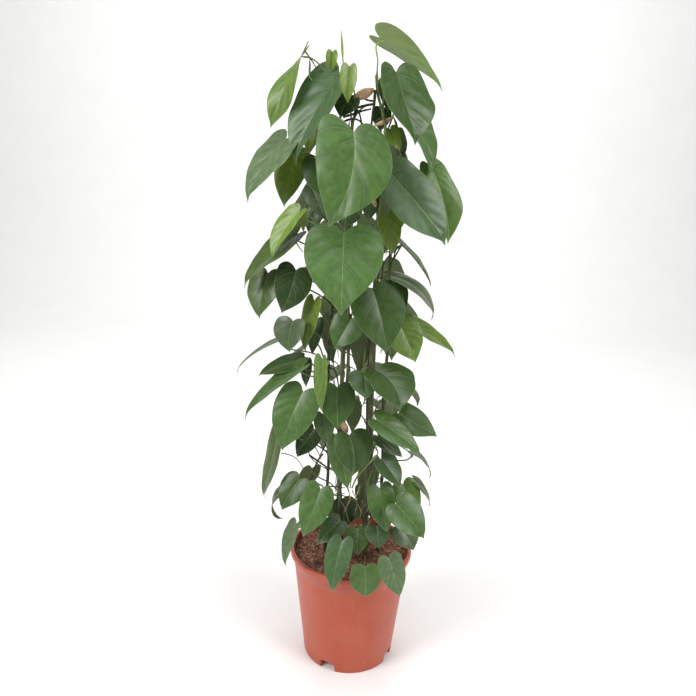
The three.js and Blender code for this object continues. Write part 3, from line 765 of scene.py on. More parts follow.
@dataclass(frozen=True)
class FloorFinish:
    """Pale matt studio floor, rolled with paint: nearly white and quite without gloss."""

    name: str = "floor_matt_paint"
    pale: str = "#F1F1EF"
    paler: str = "#F7F7F6"
    drift_size: float = 180.0

    def build(self) -> bpy.types.Material:
        """Two near whites drift into each other over a hand's width.

        Returns:
            The material.
        """
        material, add = new_finish(self.name)
        coords = add("TexCoord").outputs["Object"]
        drift = add("TexNoise", {"Vector": coords, "Scale": 1 / (self.drift_size * MM), "Detail": 3.0})
        colour = add(
            "Mix", {0: drift.outputs["Fac"], 6: srgb(self.pale), 7: srgb(self.paler)}, data_type="RGBA"
        )
        shader = add("BsdfPrincipled", {"Base Color": colour.outputs[2], "Roughness": 0.85})
        add("OutputMaterial", {"Surface": shader.outputs[0]})
        return material


@dataclass(frozen=True)
class Sight:
    """The camera that took the picture: focal length and centre in pixels, angles in degrees, eye in
    millimetres."""

    focal: float = 700.0
    centre: float = 348.0
    pitch: float = 15.7
    roll: float = 1.85
    eye: Spot = (-19.0, -1260.0, 1003.0)

    def point(self, spot: Spot) -> np.ndarray:
        """The place where the sight line through a picture point crosses an upright plane that faces the
        viewer.

        Args:
            spot: picture column, picture row, and the plane's distance in front of the plant's axis.

        Returns:
            The place in millimetres.
        """
        roll, pitch = math.radians(self.roll), math.radians(self.pitch)
        across, down = spot[0] - self.centre, spot[1] - self.centre
        right = (across * math.cos(roll) + down * math.sin(roll)) / self.focal
        rise = (across * math.sin(roll) - down * math.cos(roll)) / self.focal
        line = np.array(
            [right, math.cos(pitch) + rise * math.sin(pitch), rise * math.cos(pitch) - math.sin(pitch)]
        )
        return np.array(self.eye) + line * (-spot[2] - self.eye[1]) / line[1]

    def camera(self) -> None:
        """Adds the scene camera, turned down by the pitch and about its own axis by the roll."""
        data = bpy.data.cameras.new("picture_camera")
        data.sensor_width = 36.0
        data.lens = self.focal * data.sensor_width / (2 * self.centre)
        data.clip_end = 100.0
        camera = bpy.data.objects.new("picture_camera", data)
        turn = Euler((math.radians(90 - self.pitch), 0, 0)).to_matrix()
        turn = turn @ Matrix.Rotation(math.radians(self.roll), 3, "Z")
        camera.matrix_world = Matrix.Translation(Vector(self.eye) * MM) @ turn.to_4x4()
        bpy.context.scene.collection.objects.link(camera)
        bpy.context.scene.camera = camera


@dataclass(frozen=True)
class Leaf:
    """One leaf. start is where the petiole meets the blade and end is the blade's tip, both as picture
    column, picture row and millimetres before the plant's axis, or as places in space where by_sight is
    off. face is the compass angle of the upper side, lift tips it upwards, and bend is how far the midrib
    turns along its length."""

    vine: str
    start: Spot
    end: Spot
    wide: float
    face: float
    lift: float
    bend: float
    tone: Tone
    bow: float = 0.0
    pleat: float = 1.0
    fold: float = 14.0
    twist: float = 0.0
    taper: float = 0.0
    by_sight: bool = True


@dataclass
class Blade:
    """The thin heart-shaped blade of one leaf, a closed shell whose rings run across it from joint to
    tip."""

    leaf: Leaf
    joint: np.ndarray
    tip: np.ndarray
    seed: int
    cup: float = 0.22
    wave: float = 0.025
    crease: float = 0.03
    veins: float = 10.0
    vein_sweep: float = 0.05
    quilt: float = 0.065
    widest_quilt: float = 22.0
    ripple: float = 0.014
    crimp: float = 0.008
    tip_curl: float = 0.05
    groove: float = 0.5
    ridge: float = 0.9
    half_thick: float = 0.3
    taper_from: float = 0.05
    taper_to: float = 0.85
    chord: float = field(init=False)
    along: np.ndarray = field(init=False)
    normal: np.ndarray = field(init=False)
    side: np.ndarray = field(init=False)

    # Half an outline: along the midrib, across in half widths, and where on the midrib its vein starts
    OUTLINE = (
        (0.0, 0.0, 0.0),
        (-0.08, 0.20, 0.0),
        (-0.11, 0.55, 0.0),
        (0.01, 0.91, 0.0),
        (0.28, 1.0, 0.07),
        (0.56, 0.80, 0.28),
        (0.84, 0.28, 0.66),
        (0.93, 0.09, 0.85),
        (1.0, 0.0, 1.0),
    )

    def __post_init__(self) -> None:
        """Lays out the blade's own directions from its ends and the way it faces."""
        span = self.tip - self.joint
        self.chord = float(np.linalg.norm(span))
        self.along = span / self.chord
        lift = math.radians(self.leaf.lift)
        facing = around(self.leaf.face, math.cos(lift), math.sin(lift))
        self.normal = unit(facing - self.along * facing.dot(self.along))
        self.side = np.cross(self.along, self.normal)

    def surface(self, run: np.ndarray, across: np.ndarray) -> tuple[np.ndarray, np.ndarray]:
        """The middle surface. The midrib is an arc that turns through the bend over the chord and may bow
        sideways. Each half rises from it at the fold, softened in the crease, and sinks again with the
        square of the way out, while a slow wave runs along the margin. The twist turns the blade about its
        midrib from joint to tip, and the taper draws the tip out thinner.

        Args:
            run: along the midrib, 0 at the joint and 1 at the tip.
            across: in half widths, negative on the left.

        Returns:
            Points and the directions that stand up from them.
        """
        turn = math.radians(self.leaf.bend)
        arc = self.chord * turn / 2 / math.sin(turn / 2)
        heading = turn / 2 - turn * run
        ahead = arc / turn * (math.sin(turn / 2) - np.sin(heading))
        above = arc / turn * (np.cos(heading) - math.cos(turn / 2))
        slim = 1 - self.leaf.taper * smooth_step(run, self.taper_from, self.taper_to)
        half, fold = self.leaf.wide / 2 * slim, math.radians(self.leaf.fold)
        out = np.sqrt(across**2 + self.crease**2) - self.crease
        wave = self.wave * np.sin(4 * np.pi * run + self.leaf.wide + across)
        rise = half * (out * math.sin(fold) + across**2 * (wave - self.cup))
        flat = across * half * math.cos(fold)
        roll = math.radians(self.leaf.twist) * (run - 0.5)
        bow = 4 * self.leaf.bow * run * (1 - run)
        up = self.normal * np.cos(heading)[..., None] - self.along * np.sin(heading)[..., None]
        points = self.joint + self.along * ahead[..., None] + self.normal * above[..., None]
        points = points + self.side * (bow + flat * np.cos(roll) + rise * np.sin(roll))[..., None]
        points = points + up * (rise * np.cos(roll) - flat * np.sin(roll))[..., None]
        return points, up * np.cos(roll)[..., None] + self.side * np.sin(roll)[..., None]

    def grow(self, shape: Shape) -> None:
        """Adds the blade as rings of an upper and a lower face, with the columns set closer at midrib and
        margin.

        Args:
            shape: the shape it is added to.
        """
        draw = np.random.default_rng(self.seed)
        rows = int(np.clip(self.chord / 2.7, 24, 50))
        fans = int(np.clip(self.leaf.wide / 8, 6, 13))
        margin = smooth_path(np.array(self.OUTLINE), rows + 1)
        half = self.leaf.wide / 2
        share = np.linspace(0, 1, rows + 1)[:, None]
        width = np.maximum(margin[:, 1:2] * half, 1e-3)
        even = np.linspace(0, 1, fans + 1)
        near = [np.minimum(1.1 / width, 0.3 * even[1]), np.minimum(2.4 / width, 0.65 * even[1])]
        far = 1 - np.minimum(0.9 / width, 0.35 * (1 - even[-2]))
        middle = np.broadcast_to(even[1:-1], (rows + 1, fans - 1))
        out = np.hstack([np.zeros((rows + 1, 1)), *near, middle, far, np.ones((rows + 1, 1))])
        lean = np.array([1.0, 1.0]) + 0.05 * (draw.random(2) - 0.5)
        sides = []
        for sign, broad in zip((-1.0, 1.0), lean):
            rib = np.clip(margin[:, 2:3], 0, 1)
            run = rib + (margin[:, 0:1] - rib) * out
            across = margin[:, 1:2] * out * broad
            sides.append(self.half_skin(draw, sign, run, across, out, share, half))
        left, right = sides
        full = {key: np.hstack([left[key][:, ::-1], right[key][:, 1:]]) for key in left}
        rings = np.concatenate([full["top"], full["bottom"][:, ::-1]], axis=1)
        columns = rings.shape[1]
        names = ("rib", "edge", "vein", "gap")
        flat = {key: np.hstack([full[key], full[key][:, ::-1]]).ravel() for key in names}
        upper = np.tile(np.repeat([1.0, 0.0], columns // 2), rows + 1)
        tone = np.array(srgb(self.leaf.tone.value))
        tone[:3] *= 1 + 0.1 * (draw.random() - 0.5) + 0.06 * (draw.random(3) - 0.5)
        shape.add(
            rings.reshape(-1, 3),
            [grid_faces(rows + 1, columns, True)],
            tone=tone,
            rib_mm=flat["rib"],
            edge_mm=flat["edge"],
            vein_turn=flat["vein"],
            vein_gap=flat["gap"],
            upper=upper,
        )

    def half_skin(
        self,
        draw: np.random.Generator,
        sign: float,
        run: np.ndarray,
        across: np.ndarray,
        out: np.ndarray,
        share: np.ndarray,
        half: float,
    ) -> dict[str, np.ndarray]:
        """One half of the blade. The flesh sinks into a valley along each side vein by a share of the gap
        between veins, ripples and crimps along the margin, and curls down at the tip. The midrib is a
        groove above and a ridge below, both a bell curve across and lower towards the tip.

        Args:
            draw: the blade's own random draw.
            sign: -1 for the left half and 1 for the right.
            run: along the midrib, 0 at the joint and 1 at the tip, for every point.
            across: out from the midrib in half widths.
            out: from 0 on the midrib to 1 on the margin.
            share: each row's place from joint to tip.
            half: half the blade's width in millimetres.

        Returns:
            The two faces, the distances from midrib and margin, the vein count and the gap between veins.
        """
        middle, up = self.surface(run, across * sign)
        rib = np.abs(across) * half
        edge = (1 - out) * np.maximum(rib[:, -1:], 1e-3)
        phase = draw.random(4) * 2 * np.pi
        vein = (share - self.vein_sweep * out**2) * self.veins + 0.5 + 0.3 * np.sin(10.5 * share + phase[2])
        step = np.linalg.norm(np.gradient(middle, axis=0), axis=-1) * (len(share) - 1)
        gap = step / self.veins
        valley = ((1 + np.cos(2 * np.pi * vein)) / 2) ** 2
        swell = np.sin(np.pi * np.clip(out, 0, 1)) ** 0.8
        uneven = 0.6 + 0.4 * np.sin(7.3 * share + 2 * out + phase[3])
        sunk = self.quilt * self.leaf.pleat * np.minimum(gap, self.widest_quilt) * valley * swell * uneven
        ripple = self.ripple * half * out**3 * np.sin(2 * np.pi * 3.3 * share + phase[0])
        ripple += self.crimp * half * out**4 * np.sin(2 * np.pi * 7.1 * share + phase[1])
        ends = np.sin(np.pi * share) ** 0.5
        curl = -self.tip_curl * self.chord * smooth_step(run, 0.8, 1.0) ** 2
        groove = self.groove * np.exp(-((rib / 1.5) ** 2)) * (1 - 0.7 * run)
        ridge = self.ridge * np.exp(-((rib / 1.3) ** 2)) * (1 - 0.75 * run)
        thick = self.half_thick * (1 - 0.6 * out**6)
        middle = middle + up * ((ripple - sunk) * ends + curl)[..., None]
        return {
            "top": middle + up * ((thick - groove) * ends)[..., None],
            "bottom": middle - up * ((thick + ridge) * ends)[..., None],
            "rib": rib * (1 + 1.5 * share),
            "edge": edge,
            "vein": vein,
            "gap": gap,
        }


@dataclass
class Vine:
    """A climbing stem with its leaves. It stands upright in the soil, sways up the canes and leans in at
    the top."""

    name: str
    azimuth: float
    top: float
    phase: float
    ring: float = 54.0
    top_ring: float = 27.0
    lean_from: float = 1030.0
    lean_over: float = 90.0
    foot: float = 176.0
    ground: float = 228.0
    straight: float = 12.0
    radius: float = 3.2
    sway: float = 2.4
    sway_pitch: float = 47.0
    wander: float = 5.0
    wander_pitch: float = 95.0
    ease_over: float = 60.0
    ring_step: float = 3.5
    petiole_rise: float = 55.0
    petiole_radius: float = 1.5
    root_pitch: float = 34.0
    missed_roots: float = 0.12

    def stem(self, height: float | np.ndarray) -> np.ndarray:
        """The stem's middle: its distance from the axis sways by a sine and its azimuth wanders by a slower
        one.

        Args:
            height: one height or many.

        Returns:
            One point for each height.
        """
        risen = np.maximum(0.0, height - self.ground - self.straight)
        ease = np.minimum(1.0, risen / self.ease_over)
        lean = smooth_step(height, self.lean_from, self.lean_from + self.lean_over)
        sway = self.sway * np.sin(risen / self.sway_pitch + self.phase) * ease
        wander = self.wander * np.sin(risen / self.wander_pitch + 2 * self.phase) * ease
        return around(self.azimuth + wander, mix(self.ring + sway, self.top_ring, lean), height)

    def petiole(self, shape: Shape, blade: Blade) -> float:
        """Adds a petiole with a clasping foot and a knee under the blade.

        Args:
            shape: the shape it is added to.
            blade: the blade it carries.

        Returns:
            The height where it leaves the stem.
        """
        low = self.ground + self.straight
        height = float(np.clip(blade.joint[2] - self.petiole_rise, low, self.top - 4))
        root = self.stem(height)
        outward = (blade.joint - root) * [1, 1, 0]
        reach = float(np.linalg.norm(outward))
        outward = outward / reach
        away = root + outward * reach * 0.28 + UP * (blade.joint[2] - height) * 0.4
        start, up = blade.surface(np.array([0.0, 0.07]), np.zeros(2))
        behind = start[0] - up[0] * min(16.0, reach * 0.25) - UP * 3
        end = start[1] - up[1] * 0.9
        path = smooth_path(np.array([root, away, behind, end]), 26)
        share = np.linspace(0, 1, len(path))
        size = self.petiole_radius * (0.8 + 0.2 * min(1.0, blade.leaf.wide / 70))
        radii = size * (
            1 + 1.1 * np.exp(-((share / 0.07) ** 2)) + 0.3 * np.exp(-(((share - 0.9) / 0.05) ** 2))
        )
        radii *= 1 - 0.45 * smooth_step(share, 0.94, 1.0)
        points, faces = tube(path, radii, 8, np.cross(UP, outward))
        young = 0.2 if blade.leaf.tone in (Tone.LIME, Tone.PALE, Tone.SPRING) else 0.55
        age = np.repeat(
            young + 0.3 * np.exp(-((share / 0.15) ** 2)) - 0.25 * smooth_step(share, 0.7, 1.0), 8
        )
        shape.add(points, faces, age=age)
        return height

    def trunk(self, shape: Shape, nodes: list[float]) -> None:
        """Adds the stem: a bar that swells by a quarter at each node and is scarred round it.

        Args:
            shape: the shape it is added to.
            nodes: the heights where petioles leave it.
        """
        heights = np.linspace(self.foot, self.top + 6, int((self.top - self.foot) / self.ring_step))
        swell = sum(np.exp(-(((heights - node) / 4.5) ** 2)) for node in nodes)
        scar = sum(np.exp(-(((heights - node + 5.5) / 1.2) ** 2)) for node in nodes)
        radii = self.radius * (0.92 + 0.25 * np.minimum(swell, 1.2) - 0.08 * np.minimum(scar, 1.0))
        radii *= 1 - 0.25 * smooth_step(heights, self.top - 200, self.top)
        radii *= 1 - 0.75 * smooth_step(heights, self.top - 8, self.top + 6)
        points, faces = tube(self.stem(heights), radii, 12, RIGHT)
        older = 0.85 - 0.3 * smooth_step(heights, self.top - 420, self.top)
        shape.add(points, faces, age=np.repeat(older + 0.15 * np.minimum(scar, 1.0), 12))

    def spear(self, shape: Shape, start: np.ndarray, end: np.ndarray, radius: float) -> None:
        """Adds a rolled new leaf on its stalk: a spindle whose rolled edge winds round it as a low step.

        Args:
            shape: the shape it is added to.
            start: the leaf's foot.
            end: its tip.
            radius: its radius at the thickest.
        """
        root = self.stem(self.top - 6)
        span = end - start
        stalk = smooth_path(np.array([root, start, start + span * 0.3]), 20)
        points, faces = tube(stalk, np.linspace(1.5, 1.1, 20), 8, AHEAD)
        shape.add(points, faces, age=0.1)
        rows, sides = 40, 20
        share = np.linspace(0, 1, rows)
        path = start + span * share[:, None]
        points, faces = tube(path, 1.0, sides, AHEAD)
        full = radius * np.sin(np.pi * np.clip(share * 0.86 + 0.09, 0, 1)) ** 0.8 * (1 - 0.5 * share**2)
        angle = np.linspace(0, 1, sides, endpoint=False)[None]
        step = 1 + 0.22 * ((angle + share[:, None] * 1.4) % 1.0)
        middle = np.repeat(path, sides, axis=0)
        points = middle + (points - middle) * (full[:, None] * step).reshape(-1, 1)
        shape.add(points, faces, age=-0.15)

    def air_roots(self, shape: Shape, nodes: list[float], seed: int) -> None:
        """Adds short blunt air roots below the nodes, which droop towards the canes and along the stem.

        Args:
            shape: the shape they are added to.
            nodes: the heights where petioles leave the stem.
            seed: the seed of their draw.
        """
        draw = np.random.default_rng(seed)
        for node in np.concatenate([nodes, np.arange(self.ground + 30, self.top - 90, self.root_pitch)]):
            if draw.random() < self.missed_roots or node > self.top - 60:
                continue
            root = self.stem(node - 4)
            turn = self.azimuth + 180 + 150 * (draw.random() - 0.5)
            long = 9 + 40 * draw.random() ** 1.5
            ahead = around(turn, 1.0, 0.0)
            knee = root + ahead * (4 + 0.25 * long) - UP * 0.15 * long
            end = root + ahead * (4.5 + 0.4 * long) - UP * (0.4 + 0.5 * draw.random()) * long
            path = smooth_path(np.array([root, knee, end]), 10)
            points, faces = tube(path, np.linspace(1.3, 0.5, 10), 6, np.cross(UP, ahead))
            shape.add(points, faces, age=np.repeat(np.linspace(0.9, 0.55, 10), 6))


@dataclass
class Twig:
    """A bare stalk, side shoot or long air root between the stems, run through picture places."""

    vine: str
    spots: tuple[Spot, ...]
    radius: float
    age: float = 1.0

    def grow(self, shape: Shape, sight: Sight) -> None:
        """Adds it as a bar with a thickened joint every fifth of its length, thinner at the far end.

        Args:
            shape: the shape it is added to.
            sight: the picture's camera.
        """
        path = smooth_path(np.array([sight.point(spot) for spot in self.spots]), 24)
        share = np.linspace(0, 1, len(path))
        radii = self.radius * (1 - 0.35 * share) * (1 + 0.22 * np.cos(np.pi * 5 * share) ** 12)
        points, faces = tube(path, radii, 8, np.array([0.2, 1.0, 0.1]))
        shape.add(points, faces, age=self.age)


@dataclass
class Foliage:
    """All six leafy stems, with the leaves read from the picture and those placed by rule on the far
    sides."""

    sight: Sight
    seed: int = 20117
    close_reach: float = 70.0
    width_share: float = 0.74
    spears: tuple[tuple[Spot, Spot, float], ...] = (
        ((343, 60, 26), (341, 28, 26), 2.2),
        ((309.5, 77, 8), (310, 57, 8), 1.9),
    )

    VINES = (
        Vine("left", -75, 1085, 0.4),
        Vine("front_left", -25, 1075, 1.9),
        Vine("front_right", 30, 1125, 3.1),
        Vine("right", 85, 1058, 4.4),
        Vine("back_right", 150, 1060, 5.2),
        Vine("back_left", -150, 1050, 2.6),
    )
    # Runs of far leaves: vine, azimuth, spread, reach, first height, last height, count
    FAR_RUNS = (
        ("back_right", 157, 8, 90, 300, 1020, 11),
        ("back_left", -159, 8, 90, 300, 1020, 11),
        ("left", -112, 3, 90, 516, 948, 4),
        ("right", 120, 3, 88, 444, 732, 3),
        ("right", 102, 12, 66, 560, 1000, 3),
    )
    FAR_TONES = (Tone.DARK, Tone.MID, Tone.BLUISH, Tone.MOSS, Tone.MID, Tone.FRESH)
    DRAW_FACTOR = 1664525
    DRAW_STEP = 1013904223
    DRAW_RANGE = 2**32

    def far_leaves(self) -> list[Leaf]:
        """Leaves by rule: each run climbs in even steps and swings from side to side of its azimuth, with
        height, reach, length and slope varied by a repeatable draw. A run close to the stem has shorter,
        flatter leaves.

        Returns:
            The leaves, run by run.
        """
        state = self.seed
        leaves = []

        def draw() -> float:
            """The next number between 0 and 1 of a linear congruential run."""
            nonlocal state
            state = (state * self.DRAW_FACTOR + self.DRAW_STEP) % self.DRAW_RANGE
            return state / self.DRAW_RANGE

        for vine, azimuth, spread, reach, first, last, count in self.FAR_RUNS:
            close = reach < self.close_reach
            for at in range(count):
                share = at / (count - 1)
                swing = (1 if at % 2 == 0 else -1) * spread * (0.55 + 0.45 * draw())
                height = mix(first, last, share) + 10 * (draw() - 0.5)
                away = reach + 5 * draw()
                length = mix(66 if close else 72, 84 if close else 118, share) * (1 + 0.2 * (draw() - 0.5))
                slope = math.radians(mix(10 if close else 48, 6 if close else 22, share) + 5 * draw())
                start = around(azimuth + swing, away, height)
                out, low = away + length * math.sin(slope), height - length * math.cos(slope)
                end = around(azimuth + swing + swing * 0.3, out, low)
                tone = self.FAR_TONES[len(leaves) % len(self.FAR_TONES)]
                places = tuple(start), tuple(end)
                face = azimuth + swing
                leaves.append(
                    Leaf(vine, *places, length * self.width_share, face, 15, 22, tone, by_sight=False)
                )
        return leaves

    def build(self, leaf_finish: bpy.types.Material, stem_finish: bpy.types.Material) -> None:
        """Makes two pieces a vine: its blades, and its stem with petioles, twigs, rolled leaves and air
        roots.

        Args:
            leaf_finish: the material of the blades.
            stem_finish: the material of stems and petioles.
        """
        leaves = [*SEEN_LEAVES, *self.far_leaves()]
        blades: dict[str, list[Blade]] = {vine.name: [] for vine in self.VINES}
        for number, leaf in enumerate(leaves):
            place = self.sight.point if leaf.by_sight else np.array
            blades[leaf.vine].append(Blade(leaf, place(leaf.start), place(leaf.end), 400 + number))
        for number, vine in enumerate(self.VINES):
            green, stems = Shape(), Shape()
            for blade in blades[vine.name]:
                blade.grow(green)
            nodes = [vine.petiole(stems, blade) for blade in blades[vine.name]]
            vine.trunk(stems, nodes)
            vine.air_roots(stems, nodes, 900 + number)
            for twig in TWIGS:
                if twig.vine == vine.name:
                    twig.grow(stems, self.sight)
            if vine.name == "left":
                for start, end, radius in self.spears:
                    vine.spear(stems, self.sight.point(start), self.sight.point(end), radius)
            settle(
                green.make(f"{vine.name}_blades", leaf_finish, WELD), "leaf_and_stem", f"vine_{vine.name}"
            )
            settle(stems.make(f"{vine.name}_stem", stem_finish), "leaf_and_stem", f"vine_{vine.name}")


